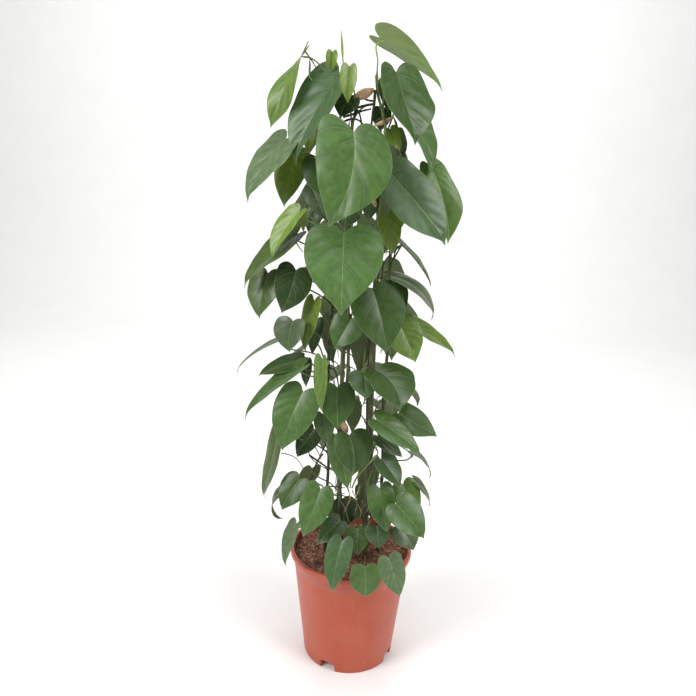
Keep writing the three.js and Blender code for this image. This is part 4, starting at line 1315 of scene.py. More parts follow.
# Leaves seen from the front
SEEN_LEAVES = (
    Leaf("left", (304.5, 51, 12), (270, 129, 4), 40, -42, 6, 24, Tone.SPRING, fold=12, twist=-95, taper=-1),
    Leaf(
        "left", (339, 75, 20), (292, 164, 42), 112, -45, 12, 22, Tone.BLUISH, pleat=2.0, fold=28, taper=-0.1
    ),
    Leaf("left", (286, 139, 12), (244.5, 202, 36), 84, -46, 15, 18, Tone.GREY, bow=4, pleat=1.5),
    Leaf("left", (295, 152, -30), (283, 208, -20), 64, -16, 10, 15, Tone.OLIVE),
    Leaf("left", (315, 158, 15), (326, 200.5, 25), 50, -10, 20, 25, Tone.DARK, bow=3),
    Leaf("left", (312, 188, 5), (327, 222, 15), 40, -15, 25, 20, Tone.SLATE),
    Leaf("left", (299.5, 212, 60), (271, 262.5, 68), 58, -50, 10, 20, Tone.LIME, bow=6, fold=30),
    Leaf("left", (304, 211, 40), (303.5, 233, 50), 18, -30, 10, 10, Tone.PALE),
    Leaf("left", (297, 234, 36), (240.5, 288, 44), 84, -64, 20, 22, Tone.MOSS, fold=20),
    Leaf("left", (268, 273, 18), (258, 319, 40), 76, -32, 15, 20, Tone.MOSS, pleat=1.6),
    Leaf("left", (296, 270, 45), (281, 314, 62), 68, 6, 20, 25, Tone.DEEP, bow=-3, pleat=2.0),
    Leaf("left", (293, 321, 50), (289, 353, 58), 70, -30, 10, 20, Tone.SLATE, bow=3, fold=20),
    Leaf("left", (282, 338, 30), (233.5, 374.5, 25), 36, -88, 42, 36, Tone.SLATE),
    Leaf("left", (314, 301, 40), (304, 354, 52), 50, -48, 8, 15, Tone.OLIVE),
    Leaf("left", (300, 360, 32), (256, 376, 28), 52, -62, 40, 22, Tone.DARK),
    Leaf("left", (302, 367, 58), (240.5, 421, 66), 60, -72, 30, 20, Tone.MID, bow=3, fold=24),
    Leaf("left", (322.5, 360, 92), (321, 414, 98), 38, -40, 5, 10, Tone.SPRING, bow=-2, fold=28),
    Leaf("left", (303, 391.5, 75), (281, 452, 98), 82, -10, 15, 22, Tone.MID, bow=3),
    Leaf("left", (277.5, 433, 55), (261.5, 500, 60), 56, -60, 5, 15, Tone.MOSS, bow=-10),
    Leaf("left", (314, 429, 32), (296, 458, 36), 46, -20, 10, 15, Tone.DEEP),
    Leaf("left", (300, 479, 82), (281, 511, 98), 56, -26, 18, 18, Tone.DARK, bow=2),
    Leaf("left", (320.5, 489, 102), (302, 538, 126), 63, -12, 15, 18, Tone.MID, bow=-2),
    Leaf("left", (282, 490, 58), (283, 520, 52), 42, -84, 20, 120, Tone.SLATE),
    Leaf("left", (296.5, 524, 84), (284.5, 568, 112), 46, -54, 12, 16, Tone.GREY, bow=2, fold=26),
    Leaf("left", (332.5, 52, 18), (331, 72, 16), 28, -6, 0, 10, Tone.LIME, fold=44),
    Leaf("front_left", (349.5, 67.5, 74), (347.5, 104, 76), 38, -4, 0, 15, Tone.LIME, fold=42),
    Leaf("front_left", (349, 96, 40), (340, 118, 46), 48, -20, 10, 15, Tone.DEEP),
    Leaf("front_left", (353.5, 132, 92), (326.5, 228, 116), 130, -8, 12, 20, Tone.MID, bow=-18),
    Leaf("front_left", (348, 205, 46), (344, 229, 54), 54, 5, 15, 15, Tone.DEEP),
    Leaf("front_left", (344, 233, 76), (341, 316, 140), 138, 0, 28, 24, Tone.MID),
    Leaf("front_left", (352, 318, 50), (334, 350, 64), 62, -12, 20, 20, Tone.MID),
    Leaf("front_left", (337, 387, 62), (337.5, 430, 88), 70, 0, 15, 20, Tone.DARK),
    Leaf("front_left", (323, 414, 62), (328, 445, 72), 40, -10, 15, 15, Tone.MID),
    Leaf("front_left", (339, 440, 78), (348, 491, 98), 50, -10, 15, 18, Tone.MID),
    Leaf("front_left", (349.5, 435, 76), (353.5, 477, 94), 92, 38, 15, 18, Tone.DARK, bow=-3, fold=22),
    Leaf("front_left", (346, 502, 40), (341, 531, 50), 50, -8, 15, 15, Tone.DEEP),
    Leaf("front_left", (340, 521, 78), (316.5, 545, 104), 44, -20, 25, 20, Tone.DEEP),
    Leaf("front_left", (342, 541, 108), (332, 594, 140), 50, -8, 25, 24, Tone.BLUISH, bow=2),
    Leaf(
        "front_right", (379.5, 37.5, -24), (446, 92, -22), 69, 150, 44, 14, Tone.SPRING, bow=4, fold=34,
        taper=0.45,
    ),
    Leaf("front_right", (384, 81, 20), (388, 113, 24), 26, 20, 5, 12, Tone.DEEP),
    Leaf(
        "front_right", (402, 104, 2), (432, 178, 22), 94, 56, 12, 20, Tone.MID, bow=-9, pleat=1.3, fold=22
    ),
    Leaf("front_right", (390, 129, 22), (400, 151, 26), 30, 15, 5, 10, Tone.LIME),
    Leaf("front_right", (387, 215, 34), (392, 256, 38), 50, 26, 8, 15, Tone.LIME, fold=22),
    Leaf("front_right", (373, 290, 66), (386.5, 355, 96), 98, 8, 15, 20, Tone.DARK, bow=-3),
    Leaf("right", (393, 284, 26), (400, 321, 40), 50, 15, 15, 15, Tone.MOSS),
    Leaf(
        "front_right", (379, 371.5, 68), (401, 412, 98), 112, 48, 22, 22, Tone.DARK, bow=-12, fold=20,
        taper=-0.25,
    ),
    Leaf("front_right", (364, 373, 76), (366, 400, 106), 58, 4, 35, 25, Tone.BLUISH),
    Leaf("front_right", (376.5, 419.5, 86), (422.5, 454, 100), 50, 36, 30, 16, Tone.MID, fold=18),
    Leaf("front_right", (378, 436, 52), (403.5, 458, 54), 34, 26, 25, 12, Tone.DEEP, fold=18),
    Leaf("front_right", (381, 459, 56), (401, 488, 72), 63, 52, 20, 18, Tone.BLUISH, fold=20),
    Leaf("front_right", (379.5, 488, 72), (387.5, 534, 92), 56, 14, 18, 20, Tone.MID, bow=2),
    Leaf("front_right", (357, 529, 86), (357.5, 556, 106), 48, 0, 25, 20, Tone.DARK),
    Leaf("front_right", (376, 526, 82), (379, 549, 102), 50, 10, 35, 35, Tone.BLUISH),
    Leaf("front_right", (365, 567, 130), (365.5, 598, 142), 56, 2, 20, 25, Tone.MID, taper=-0.25),
    Leaf("front_right", (389, 558, 118), (400.5, 598, 140), 52, 14, 15, 18, Tone.GREY, bow=1),
    Leaf(
        "front_right", (396, 72, 58), (418, 144.5, 88), 102, 42, 8, 16, Tone.DARK, bow=5, taper=-0.55,
        pleat=2.2, fold=24,
    ),
    Leaf(
        "right", (392, 174.5, 50), (448.5, 245, 60), 86, 27, 12, 18, Tone.BLUISH, bow=1, fold=18,
        twist=-20, taper=-0.4,
    ),
    Leaf("right", (432, 168, 2), (449.5, 244, 22), 52, 14, 10, 18, Tone.FRESH, bow=-5, taper=-0.85),
    Leaf("right", (397, 131, -14), (404.5, 158, -12), 34, 40, 10, 12, Tone.GREY),
    Leaf("right", (399.5, 243, 8), (433, 289, 8), 54, 84, 36, 24, Tone.SLATE, fold=24),
    Leaf("right", (392, 276, 44), (434, 321.5, 40), 52, 72, 44, 80, Tone.SLATE, bow=3, taper=-0.8),
    Leaf("right", (405, 320, 24), (458.5, 357, 24), 61, 66, 44, 18, Tone.OLIVE, fold=20),
    Leaf("right", (399, 322, 48), (416.5, 363, 62), 64, 8, 15, 16, Tone.SPRING, taper=-0.1),
    Leaf("right", (399, 413, 50), (438.5, 436.5, 70), 60, 26, 32, 22, Tone.DARK, bow=3),
    Leaf("right", (411.5, 451, 38), (430.2, 480, 38), 42, 92, 40, 72, Tone.SLATE),
    Leaf("front_right", (396, 504, 108), (425.5, 539, 126), 72, 34, 20, 18, Tone.MID, fold=20),
    Leaf("right", (403, 484, 50), (416, 521, 66), 56, 14, 15, 16, Tone.FRESH),
    Leaf("right", (415, 480.5, 34), (429.5, 508, 34), 44, 84, 36, 56, Tone.MOSS),
    Leaf("right", (402, 526, 66), (414, 551, 84), 56, 20, 15, 20, Tone.SLATE),
    # Leaves behind the stems and inside the plant, all in deep green, which is partly painted shade
    Leaf("back_left", (338, 502, -72), (333, 523, -86), 56, -165, 10, 15, Tone.DEEP),
    Leaf("back_right", (367, 488, -68), (372, 520, -86), 60, 165, 10, 15, Tone.DEEP),
    Leaf("back_left", (331, 316, -48), (333, 366, -56), 42, -150, 12, 18, Tone.DEEP),
    Leaf("back_right", (362, 326, -50), (358, 376, -62), 50, 160, 12, 18, Tone.DEEP),
    Leaf("left", (307, 360, 10), (306, 388, 14), 26, -30, 12, 18, Tone.DEEP),
    Leaf("back_right", (353, 402, -50), (352, 434, -60), 38, 170, 12, 18, Tone.DEEP),
    Leaf("back_left", (312, 468, -56), (303, 496, -66), 50, -150, 12, 18, Tone.DEEP),
    Leaf("back_right", (371, 460, -56), (361, 512, -68), 46, 170, 12, 18, Tone.DEEP),
    Leaf("back_right", (356, 500, -66), (352, 523, -76), 60, 175, 12, 18, Tone.DEEP),
    Leaf("back_right", (385, 505, -60), (391, 524, -60), 50, 150, 12, 18, Tone.DEEP),
    Leaf("front_right", (382, 109, 20), (380, 132, 24), 36, 10, 12, 14, Tone.DEEP),
    Leaf("left", (313, 118, -20), (309, 156, -20), 40, -20, 12, 16, Tone.OLIVE),
    Leaf("left", (317, 203, -8), (309, 236, -4), 40, -20, 12, 16, Tone.DEEP),
    Leaf("front_right", (371, 194, 40), (368, 222, 44), 34, 10, 12, 16, Tone.DEEP),
    Leaf("left", (317, 320, -6), (312, 356, 0), 32, -20, 12, 16, Tone.DEEP),
)


@dataclass
class Pot:
    """Moulded nursery pot: a tapered wall with a collar, a floor, and drain notches through the foot."""

    height: float = 234.0
    foot_radius: float = 91.0
    wall_top: float = 116.0
    collar: float = 122.0
    collar_tall: float = 11.0
    wall: float = 2.6
    floor: float = 3.0
    corner: float = 2.0
    notch_wide: float = 31.0
    notch_tall: float = 20.0
    notch_corner: float = 6.0
    notch_depth: float = 24.0
    lap: float = 0.05
    first_notch: float = -26.0
    notches: int = 4
    shoulder_round: float = 0.8
    collar_round: float = 1.2
    mouth_round: float = 2.2
    bore_round: float = 2.0
    line_height: float = 8.5
    line_tall: float = 0.35
    notch_columns: int = 17
    plain_columns: int = 30

    # Heights of the wall's rows, closer round the moulding line and the notches
    WALL_ROWS = (
        0, 0.3, 0.8, 1.4, 2, 4, 6.5, 7.6, 8.5, 9.4, 10.5, 12, 14, 17, 20, 30, 60, 100, 150, 190, 222.2
    )

    def bore(self, height: float | np.ndarray) -> float | np.ndarray:
        """The radius of the inner face at a height."""
        slope = (self.wall_top - self.foot_radius) / (self.height - self.collar_tall)
        return self.foot_radius - self.wall + slope * height

    def skin(self, height: np.ndarray) -> np.ndarray:
        """The outer face: the taper, rounded at the foot by a quarter circle, with a low moulding line
        above it.

        Args:
            height: heights on the wall.

        Returns:
            The radius at each.
        """
        rounding = np.sqrt(
            np.maximum(self.corner**2 - np.maximum(self.corner - height, 0) ** 2, 0)
        ) - self.corner
        line = self.line_tall * np.exp(-(((height - self.line_height) / 0.9) ** 2))
        return self.bore(height) + self.wall + rounding + line

    def arch(self, grow: float) -> np.ndarray:
        """A notch's outline seen from the front: upright sides, round corners and a flat top.

        Args:
            grow: how far it is grown all round.

        Returns:
            Across and height of each point, from the left foot to the right foot.
        """
        half, corner = self.notch_wide / 2 + grow, self.notch_corner + grow
        straight = self.notch_tall - self.notch_corner
        turn = np.radians(np.linspace(0, 90, 7))
        left = np.stack([corner - half - corner * np.cos(turn), straight + corner * np.sin(turn)], axis=1)
        foot = np.stack([np.full(4, -half), np.linspace(self.lap, straight, 5)[:-1]], axis=1)
        flat = np.stack([np.linspace(corner - half, 0, 4)[1:], np.full(3, straight + corner)], axis=1)
        side = np.vstack([foot, left, flat])
        return np.vstack([side, side[-2::-1] * [-1, 1]])

    def columns(self, reach: float) -> tuple[np.ndarray, np.ndarray, np.ndarray, list[tuple[int, int]]]:
        """Azimuths on a ring of the pot, with each notch's own columns between its two parallel sides.

        Args:
            reach: the ring's radius.

        Returns:
            Azimuths in degrees, the lowest height of the wall at each, how far across its notch each lies,
            and each notch's first and last column.
        """
        half = self.notch_wide / 2
        across = half * np.sin(np.linspace(-np.pi / 2, np.pi / 2, self.notch_columns))
        into = np.maximum(np.abs(across) - (half - self.notch_corner), 0)
        arch = self.notch_tall - self.notch_corner + np.sqrt(self.notch_corner**2 - into**2)
        turned = np.degrees(np.arcsin(across / reach))
        azimuths, lows, places, spans = [], [], [], []
        for notch in range(self.notches):
            centre = self.first_notch + 360 / self.notches * notch
            count = sum(len(block) for block in azimuths)
            plain = np.linspace(
                centre + turned[-1], centre + 360 / self.notches + turned[0], self.plain_columns
            )
            azimuths += [centre + turned, plain]
            lows += [arch, np.zeros(self.plain_columns)]
            places += [across, np.zeros(self.plain_columns)]
            spans.append((count, count + len(across)))
        return np.concatenate(azimuths), np.concatenate(lows), np.concatenate(places), spans

    def floor_rings(self, rim: float) -> tuple[np.ndarray, np.ndarray]:
        """Rings of the floor from its middle to a rim. Inside a notch they stop at its flat back.

        Args:
            rim: the radius of the last ring.

        Returns:
            Azimuths and radii, one ring a row.
        """
        back = self.foot_radius - self.notch_depth
        corner = math.hypot(back, self.notch_wide / 2)
        azimuths, radii = [], []
        for reach in (0.0, 30.0, 60.0, corner, 78.0, 84.0, rim):
            cut = reach >= corner
            azimuth, lows, across, _ = self.columns(reach if cut else self.foot_radius - self.wall / 2)
            radius = np.full(len(azimuth), reach)
            notched = (lows > 0) & cut
            apart = 360 / self.notches
            middle = self.first_notch + np.round((azimuth - self.first_notch) / apart) * apart
            azimuth = np.where(notched, middle + np.degrees(np.arctan(across / back)), azimuth)
            azimuths.append(azimuth)
            radii.append(np.where(notched, np.hypot(back, across), radius))
        return np.stack(azimuths), np.stack(radii)

    def rim(self) -> np.ndarray:
        """The collar's section, five points to each rounded corner.

        Returns:
            Radius and height of each point, from the outer wall over the mouth to the bore.
        """
        turn = np.radians(np.linspace(0, 90, 5))
        ease, rise = 1 - np.cos(turn), np.sin(turn)
        under, top = self.height - self.collar_tall, self.height
        outside, inside = self.bore(under) + self.wall, self.bore(top)
        shoulder = np.stack(
            [outside + self.shoulder_round * ease, under - self.shoulder_round * (1 - rise)]
        )
        collar = np.stack([self.collar - self.collar_round * (1 - rise), under + self.collar_round * ease])
        middle = np.array([[self.collar], [under + self.collar_tall / 2]])
        mouth = np.stack([self.collar - self.mouth_round * ease, top - self.mouth_round * (1 - rise)])
        bore = np.stack([inside + self.bore_round * (1 - rise), top - self.bore_round * ease])
        return np.hstack([shoulder, collar, middle, mouth, bore]).T

    def grow(self, shape: Shape) -> None:
        """Adds the pot as rings of columns: under the floor, up the wall, over the collar, down inside and
        across the floor. Wall rows never go below a column's lowest height, and the notch's sides and arch
        close the gaps.

        Args:
            shape: the shape it is added to.
        """
        azimuths, lows, _, spans = self.columns(self.foot_radius - self.wall / 2)
        rows = np.array(self.WALL_ROWS)
        inner = rows[rows > self.floor][::-1]
        outer_z = np.maximum(rows[:, None], lows)
        inner_z = np.maximum(np.append(inner, self.floor)[:, None], lows)
        under_a, under_r = self.floor_rings(self.foot_radius - self.corner)
        top_a, top_r = self.floor_rings(self.bore(self.floor))
        count = len(azimuths)
        ring = np.ones((1, count))
        blocks = [
            (under_a, under_r, np.zeros_like(under_r)),
            (azimuths, self.skin(outer_z), outer_z),
            *[(azimuths, ring * reach, ring * height) for reach, height in self.rim()],
            (azimuths, self.bore(inner_z), inner_z),
            (top_a[::-1], top_r[::-1], np.full_like(top_r, self.floor)),
        ]
        edges = np.cumsum([0, *[len(block[1]) for block in blocks]])
        points = np.vstack([around(*block) for block in blocks])
        faces = grid_faces(len(points), count, True).reshape(len(points) - 1, count, 4)
        first_wall, last_wall = edges[1], edges[-2]
        opening = np.zeros(count, bool)
        for start, end in spans:
            opening[start : end - 1] = True
        keep = np.ones(faces.shape[:2], bool)
        keep[first_wall - 1, opening] = False
        keep[last_wall - 1, opening] = False
        sides = np.zeros(count, bool)
        for start, end in spans:
            sides[[start - 1, end - 1]] = True
        keep[:, sides] = False
        shape.add(points.reshape(-1, 3), [faces[keep]])
        self.close_notches(shape, points, (first_wall, last_wall), spans)
        self.add_pockets(shape)

    def close_notches(
        self, shape: Shape, points: np.ndarray, walls: tuple[int, int], spans: list[tuple[int, int]]
    ) -> None:
        """Adds each notch's arch, the cut edge of the floor and the two flat sides.

        Args:
            shape: the shape they are added to.
            points: the pot's points, ring by ring.
            walls: the first ring of the outer wall and the first ring past the inner wall.
            spans: each notch's first and last column.
        """
        first, last = walls
        for start, end in spans:
            inside = slice(start, end)
            arch = np.stack([points[last - 1, inside], points[first, inside]])
            lip = np.stack([points[last, inside], points[first - 1, inside]])
            for strip, turned in ((arch, False), (lip, True)):
                faces = grid_faces(2, end - start)
                shape.add(strip.reshape(-1, 3), [faces[:, ::-1] if turned else faces])
            for plain, flip in ((start - 1, True), (end % points.shape[1], False)):
                low = points[:, plain, 2] <= self.notch_tall - self.notch_corner + 1e-6
                near = np.hypot(points[:, plain, 0], points[:, plain, 1])
                low &= near >= self.foot_radius - self.notch_depth - 1e-6
                side = points[low, plain]
                order = np.arange(len(side))[None]
                shape.add(side, [order[:, ::-1] if flip else order])

    def add_pockets(self, shape: Shape) -> None:
        """Adds the pocket behind each notch: a vault as thick as the wall that runs in from the middle of
        the wall, and a flat plate that closes its back. Both lap the faces next to them by a hair, so that
        none coincide.

        Args:
            shape: the shape they are added to.
        """
        back = self.foot_radius - self.notch_depth
        inner, outer = self.arch(-self.lap), self.arch(self.wall - self.lap)
        ring = np.vstack([inner, outer[::-1]])
        count = len(inner)
        front = np.sqrt((self.bore(ring[:, 1]) + self.wall / 2) ** 2 - ring[:, 0] ** 2)
        share = np.linspace(0, 1, 5)[:, None]
        vault_out = (back - 2 * self.lap) * (1 - share) + front * share
        strip = np.arange(count - 1)[:, None]
        cap = np.hstack([strip, strip + 1, 2 * count - 2 - strip, 2 * count - 1 - strip])
        vault_faces = [grid_faces(5, 2 * count, True), cap[:, ::-1], cap + 8 * count]
        plate_out = np.array([[back - self.wall], [back + self.lap]]) + np.zeros(count)
        plate = np.arange(count)[None]
        plate_faces = [grid_faces(2, count, True)[:, ::-1], plate, plate[:, ::-1] + count]
        for notch in range(self.notches):
            turn = math.radians(self.first_notch + 360 / self.notches * notch)
            sideways = np.array([math.cos(turn), math.sin(turn), 0.0])
            outward = np.array([math.sin(turn), -math.cos(turn), 0.0])
            for profile, out, faces in ((ring, vault_out, vault_faces), (outer, plate_out, plate_faces)):
                flat = profile[:, :1] * sideways + profile[:, 1:] * UP
                shape.add((flat + out[..., None] * outward).reshape(-1, 3), faces)

    def build(self) -> None:
        """Makes the pot's piece in moulded plastic."""
        shape = Shape()
        self.grow(shape)
        settle(shape.make("nursery_pot", PotFinish().build(), WELD), "pot_plastic", "pot")


@dataclass
class Soil:
    """Potting soil: a body that fills the pot, with a crumbly heaped top and loose bits of bark and
    peat."""

    pot: Pot
    clearance: float = 0.3
    edge: float = 221.0
    heap: float = 7.0
    columns: int = 150
    crumbs: int = 420
    crumb_reach: float = 112.0
    seed: int = 61
    recess_turn: float = 19.0

    # Waves on the top: pitch and height in millimetres
    WAVES = ((31, 0.7), (12, 0.7), (5, 0.45))

    def height(self, reach: np.ndarray) -> np.ndarray:
        """The height of the undisturbed top at a distance from the axis: flat in the middle and sloping
        outwards."""
        rise = self.heap * np.array([1, 1, 0.6, 0])
        return np.interp(reach, [0, 34, 80, self.pot.bore(self.edge)], self.edge + rise)

    def grow(self, shape: Shape) -> None:
        """Adds the body as rings: under it, up the wall past the recesses for the pot's pockets, and over
        the top, where three sets of waves in crossing directions and a fine draw make hollows and lumps of
        up to 2 mm.

        Args:
            shape: the shape it is added to.
        """
        draw = np.random.default_rng(self.seed)
        azimuth = np.linspace(0, 360, self.columns, endpoint=False)[None]
        foot = self.pot.floor + self.clearance
        over = self.pot.notch_tall + self.pot.wall + self.clearance
        wall_z = np.concatenate([[foot, 12.0, over, over + 0.4], np.linspace(40.0, self.edge - 1.5, 8)])
        reach = np.linspace(self.pot.bore(self.edge) - self.clearance, 0, 52)
        section = np.concatenate([[0, 45], self.pot.bore(wall_z) - self.clearance, reach])
        radius = np.repeat(section[:, None], self.columns, axis=1)
        height = np.concatenate([[foot, foot], wall_z, self.height(reach) - 1.0])[:, None]
        apart = 360 / self.pot.notches
        off = np.radians((azimuth - self.pot.first_notch + apart / 2) % apart - apart / 2)
        behind = self.pot.foot_radius - self.pot.notch_depth - self.pot.wall - self.clearance
        recess = np.where(np.abs(off) < math.radians(self.recess_turn), behind / np.cos(off), np.inf)
        beside_pocket = slice(2, 5)
        radius[beside_pocket] = np.minimum(radius[beside_pocket], recess)
        points = around(azimuth, radius, height)
        x, y = points[..., 0], points[..., 1]
        lumps = np.zeros_like(x)
        for pitch, tall in self.WAVES:
            turns = draw.random((3, 2)) * 2 * np.pi
            for turn, start in turns:
                lumps += tall / 1.7 * np.sin(
                    2 * np.pi * (x * np.cos(turn) + y * np.sin(turn)) / pitch + start
                )
        lumps += 0.5 * (draw.random(x.shape) - 0.5)
        top = np.arange(len(radius)) >= len(radius) - len(reach)
        inward = smooth_step(self.pot.bore(self.edge) - radius, 0.5, 6)
        lumps *= top[:, None] * inward * smooth_step(radius, 0, 5)
        points[..., 2] += lumps
        shape.add(points.reshape(-1, 3), [grid_faces(len(radius), self.columns, True)])

    def scatter(self, shape: Shape) -> None:
        """Adds the loose bits: balls of twenty faces, each stretched, turned and roughened by a repeatable
        draw. The ball's corners are those of three golden rectangles, and every three that lie an edge
        apart make a face.

        Args:
            shape: the shape they are added to.
        """
        draw = np.random.default_rng(self.seed + 1)
        golden = (1 + math.sqrt(5)) / 2
        ring = np.array([(a, b * golden) for a in (-1, 1) for b in (-1, 1)])
        corners = [(0, a, b) for a, b in ring] + [(a, b, 0) for a, b in ring] + [(b, 0, a) for a, b in ring]
        ball = np.array(corners, float)
        near = np.linalg.norm(ball[:, None] - ball[None], axis=2) < 2.1
        faces = [
            (a, b, c)
            for a in range(12)
            for b in range(a + 1, 12)
            for c in range(b + 1, 12)
            if near[a, b] and near[b, c] and near[a, c]
        ]
        wound = []
        for a, b, c in faces:
            outward = np.cross(ball[b] - ball[a], ball[c] - ball[a]).dot(ball[a]) > 0
            wound.append((a, b, c) if outward else (a, c, b))
        ball = ball / np.linalg.norm(ball[0])
        for _ in range(self.crumbs):
            reach = self.crumb_reach * math.sqrt(draw.random())
            size = 0.9 + 2.2 * draw.random() ** 3
            stretch = size * np.array([1.0, 0.55 + 0.4 * draw.random(), 0.35 + 0.35 * draw.random()])
            turn = np.array(Euler(tuple(draw.random(3) * [0.8, 0.8, 6.28])).to_matrix())
            middle = around(360 * draw.random(), reach - 1, 0.0)
            middle[2] = self.height(np.array(reach)) + 0.2 * size
            lump = ball * (0.8 + 0.4 * draw.random((12, 1))) * stretch
            shape.add(lump @ turn.T + middle, [np.array(wound)])

    def build(self) -> None:
        """Makes the soil's body and its loose bits in compost."""
        earth = SoilFinish().build()
        body, bits = Shape(), Shape()
        self.grow(body)
        self.scatter(bits)
        settle(body.make("soil_body", earth, WELD), "potting_soil", "soil")
        settle(bits.make("soil_crumbs", earth), "potting_soil", "soil")


@dataclass
class Support:
    """Four slim canes on a ring, tied together by three flat hoops."""

    radius: float = 4.0
    ring: float = 40.0
    foot: float = 40.0
    top: float = 1012.0
    azimuths: tuple[float, ...] = (45, 135, -135, -45)
    hoops: tuple[float, ...] = (440, 755, 985)
    hoop_wide: float = 2.2
    hoop_tall: float = 3.2
    hoop_corners: int = 20
    clearance: float = 0.3
    cane_rings: int = 330
    joint_pitch: float = 118.0

    def cane(self, shape: Shape, azimuth: float, seed: int) -> None:
        """Adds a cane: a rod with a low swollen ring and a sheath scar at every joint, a hand's width
        apart.

        Args:
            shape: the shape it is added to.
            azimuth: where it stands on the ring.
            seed: the seed of its first joint's height.
        """
        draw = np.random.default_rng(seed)
        heights = np.linspace(self.foot, self.top, self.cane_rings)
        joints = np.arange(self.foot + 60 + 60 * draw.random(), self.top - 30, self.joint_pitch)
        swell = sum(np.exp(-(((heights - joint) / 3.0) ** 2)) for joint in joints)
        scar = sum(np.exp(-(((heights - joint - 3.6) / 1.0) ** 2)) for joint in joints)
        radii = self.radius * (0.97 + 0.07 * swell - 0.06 * scar)
        ends = np.minimum(heights - self.foot, self.top - heights)
        radii = radii - 0.7 * np.exp(-ends / 0.5)
        path = np.repeat(around(azimuth, self.ring, 0.0)[None], len(heights), axis=0)
        path[:, 2] = heights
        points, faces = tube(path, radii, 20, RIGHT)
        shape.add(points, faces)

    def hoop(self, shape: Shape, height: float) -> None:
        """Adds a hoop: a flat strip with rounded edges, a squared circle in section, bent round the canes.

        Args:
            shape: the shape it is added to.
            height: the height of its middle.
        """
        rings, sides = 120, 12
        turn = np.linspace(0, 2 * np.pi, sides, endpoint=False)
        across = np.sign(np.cos(turn)) * np.abs(np.cos(turn)) ** 0.5 * self.hoop_wide / 2
        tall = np.sign(np.sin(turn)) * np.abs(np.sin(turn)) ** 0.5 * self.hoop_tall / 2
        inner = (self.ring + self.radius + self.clearance) / math.cos(math.pi / self.hoop_corners)
        azimuth = np.linspace(0, 360, rings, endpoint=False)[:, None]
        ripple = 0.12 * np.sin(np.radians(azimuth) * 23)
        reach = inner + self.hoop_wide / 2 + across[None] * 0.95
        points = around(azimuth, reach, height + tall[None] + ripple)
        faces = grid_faces(rings + 1, sides, True) % (rings * sides)
        shape.add(points.reshape(-1, 3), [faces])

    def build(self) -> None:
        """Makes the four canes and the three hoops."""
        rod = FibreFinish(
            "cane_split_bamboo", "#6E7444", "#393D20", 1.2, (1.0, 1.0, 0.05), 0.5, 0.15
        ).build()
        strip = FibreFinish(
            "hoop_brown_strip", "#7A6444", "#4A3A26", 0.8, (0.3, 0.3, 1.0), 0.55, 0.12
        ).build()
        for number, azimuth in enumerate(self.azimuths, 1):
            shape = Shape()
            self.cane(shape, azimuth, 70 + number)
            settle(shape.make(f"cane_{number}_fine", rod), "cane", f"cane_{number}")
        for number, height in enumerate(self.hoops, 1):
            shape = Shape()
            self.hoop(shape, height)
            settle(shape.make(f"hoop_{number}_fine", strip), "hoop_plastic", f"hoop_{number}")


@dataclass
class Sheath:
    """A dry papery bud sheath that clings to a stem: a curled strip, pointed at both ends."""

    start: Spot
    end: Spot
    wide: float
    curl: float = 1.1

    def grow(self, shape: Shape, sight: Sight, seed: int) -> None:
        """Adds the strip as a closed thin shell: rings cross it as arcs of the curl, its width follows a
        sine and a crumple of three waves runs along it.

        Args:
            shape: the shape it is added to.
            sight: the picture's camera.
            seed: the seed of its slant and its crumple.
        """
        draw = np.random.default_rng(seed)
        start, end = sight.point(self.start), sight.point(self.end)
        along = unit(end - start)
        facing = unit(np.array([0.25 * (draw.random() - 0.5), -1.0, 0.15]))
        facing = unit(facing - along * facing.dot(along))
        side = np.cross(along, facing)
        rows, columns = 26, 9
        share = np.linspace(0, 1, rows)[:, None]
        angle = np.linspace(-self.curl, self.curl, columns)[None]
        half = self.wide / 2 * np.sin(np.pi * np.clip(share * 0.96 + 0.02, 0, 1)) ** 0.6
        crumple = 0.5 * np.sin(2 * np.pi * (share * 3.1 + angle * 0.4 + draw.random()))
        bend = 0.09 * np.linalg.norm(end - start) * np.sin(np.pi * share)
        across = half * np.sin(angle) / math.sin(self.curl)
        out = half * (np.cos(angle) - 1) / math.sin(self.curl) + crumple + bend
        middle = start + (end - start) * share[..., None]
        sheet = middle + side * across[..., None] + facing * out[..., None]
        ends = np.sin(np.pi * share)[..., None] ** 0.3
        top, bottom = sheet + facing * 0.15 * ends, sheet - facing * 0.15 * ends
        rings = np.concatenate([top, bottom[:, ::-1]], axis=1)
        caps = np.arange(columns * 2)
        last = caps + (rows - 1) * columns * 2
        shape.add(rings.reshape(-1, 3), [grid_faces(rows, columns * 2, True), caps[None, ::-1], last[None]])


# Dry sheaths by picture place, and the loose roots with their radius
SHEATHS = (
    Sheath((354, 98, 46), (374, 89, 40), 17.0, 1.3),
    Sheath((374, 126, 42), (394, 117.5, 36), 8.0, 1.4),
    Sheath((371, 193, 44), (376, 207, 44), 9.0),
    Sheath((341, 421, 70), (347.5, 433, 68), 13.0, 1.3),
)
LOOSE_ROOTS = (
    (((340, 500, 40), (345, 509, 44), (341, 518, 42), (346, 527, 40)), 1.6),
    (((362, 500, 20), (366, 510, 22), (362, 519, 20), (367, 530, 18)), 1.6),
    (((370, 504, 16), (372, 513, 18), (369, 522, 16), (373, 530, 14)), 1.4),
    (((346, 484, 58), (350, 497, 62), (346, 510, 60), (350, 524, 56)), 1.5),
    (((360, 486, 56), (356, 500, 62), (361, 512, 60), (358, 523, 54)), 1.3),
    (((352, 490, 60), (357, 503, 64), (354, 516, 62)), 1.1),
)

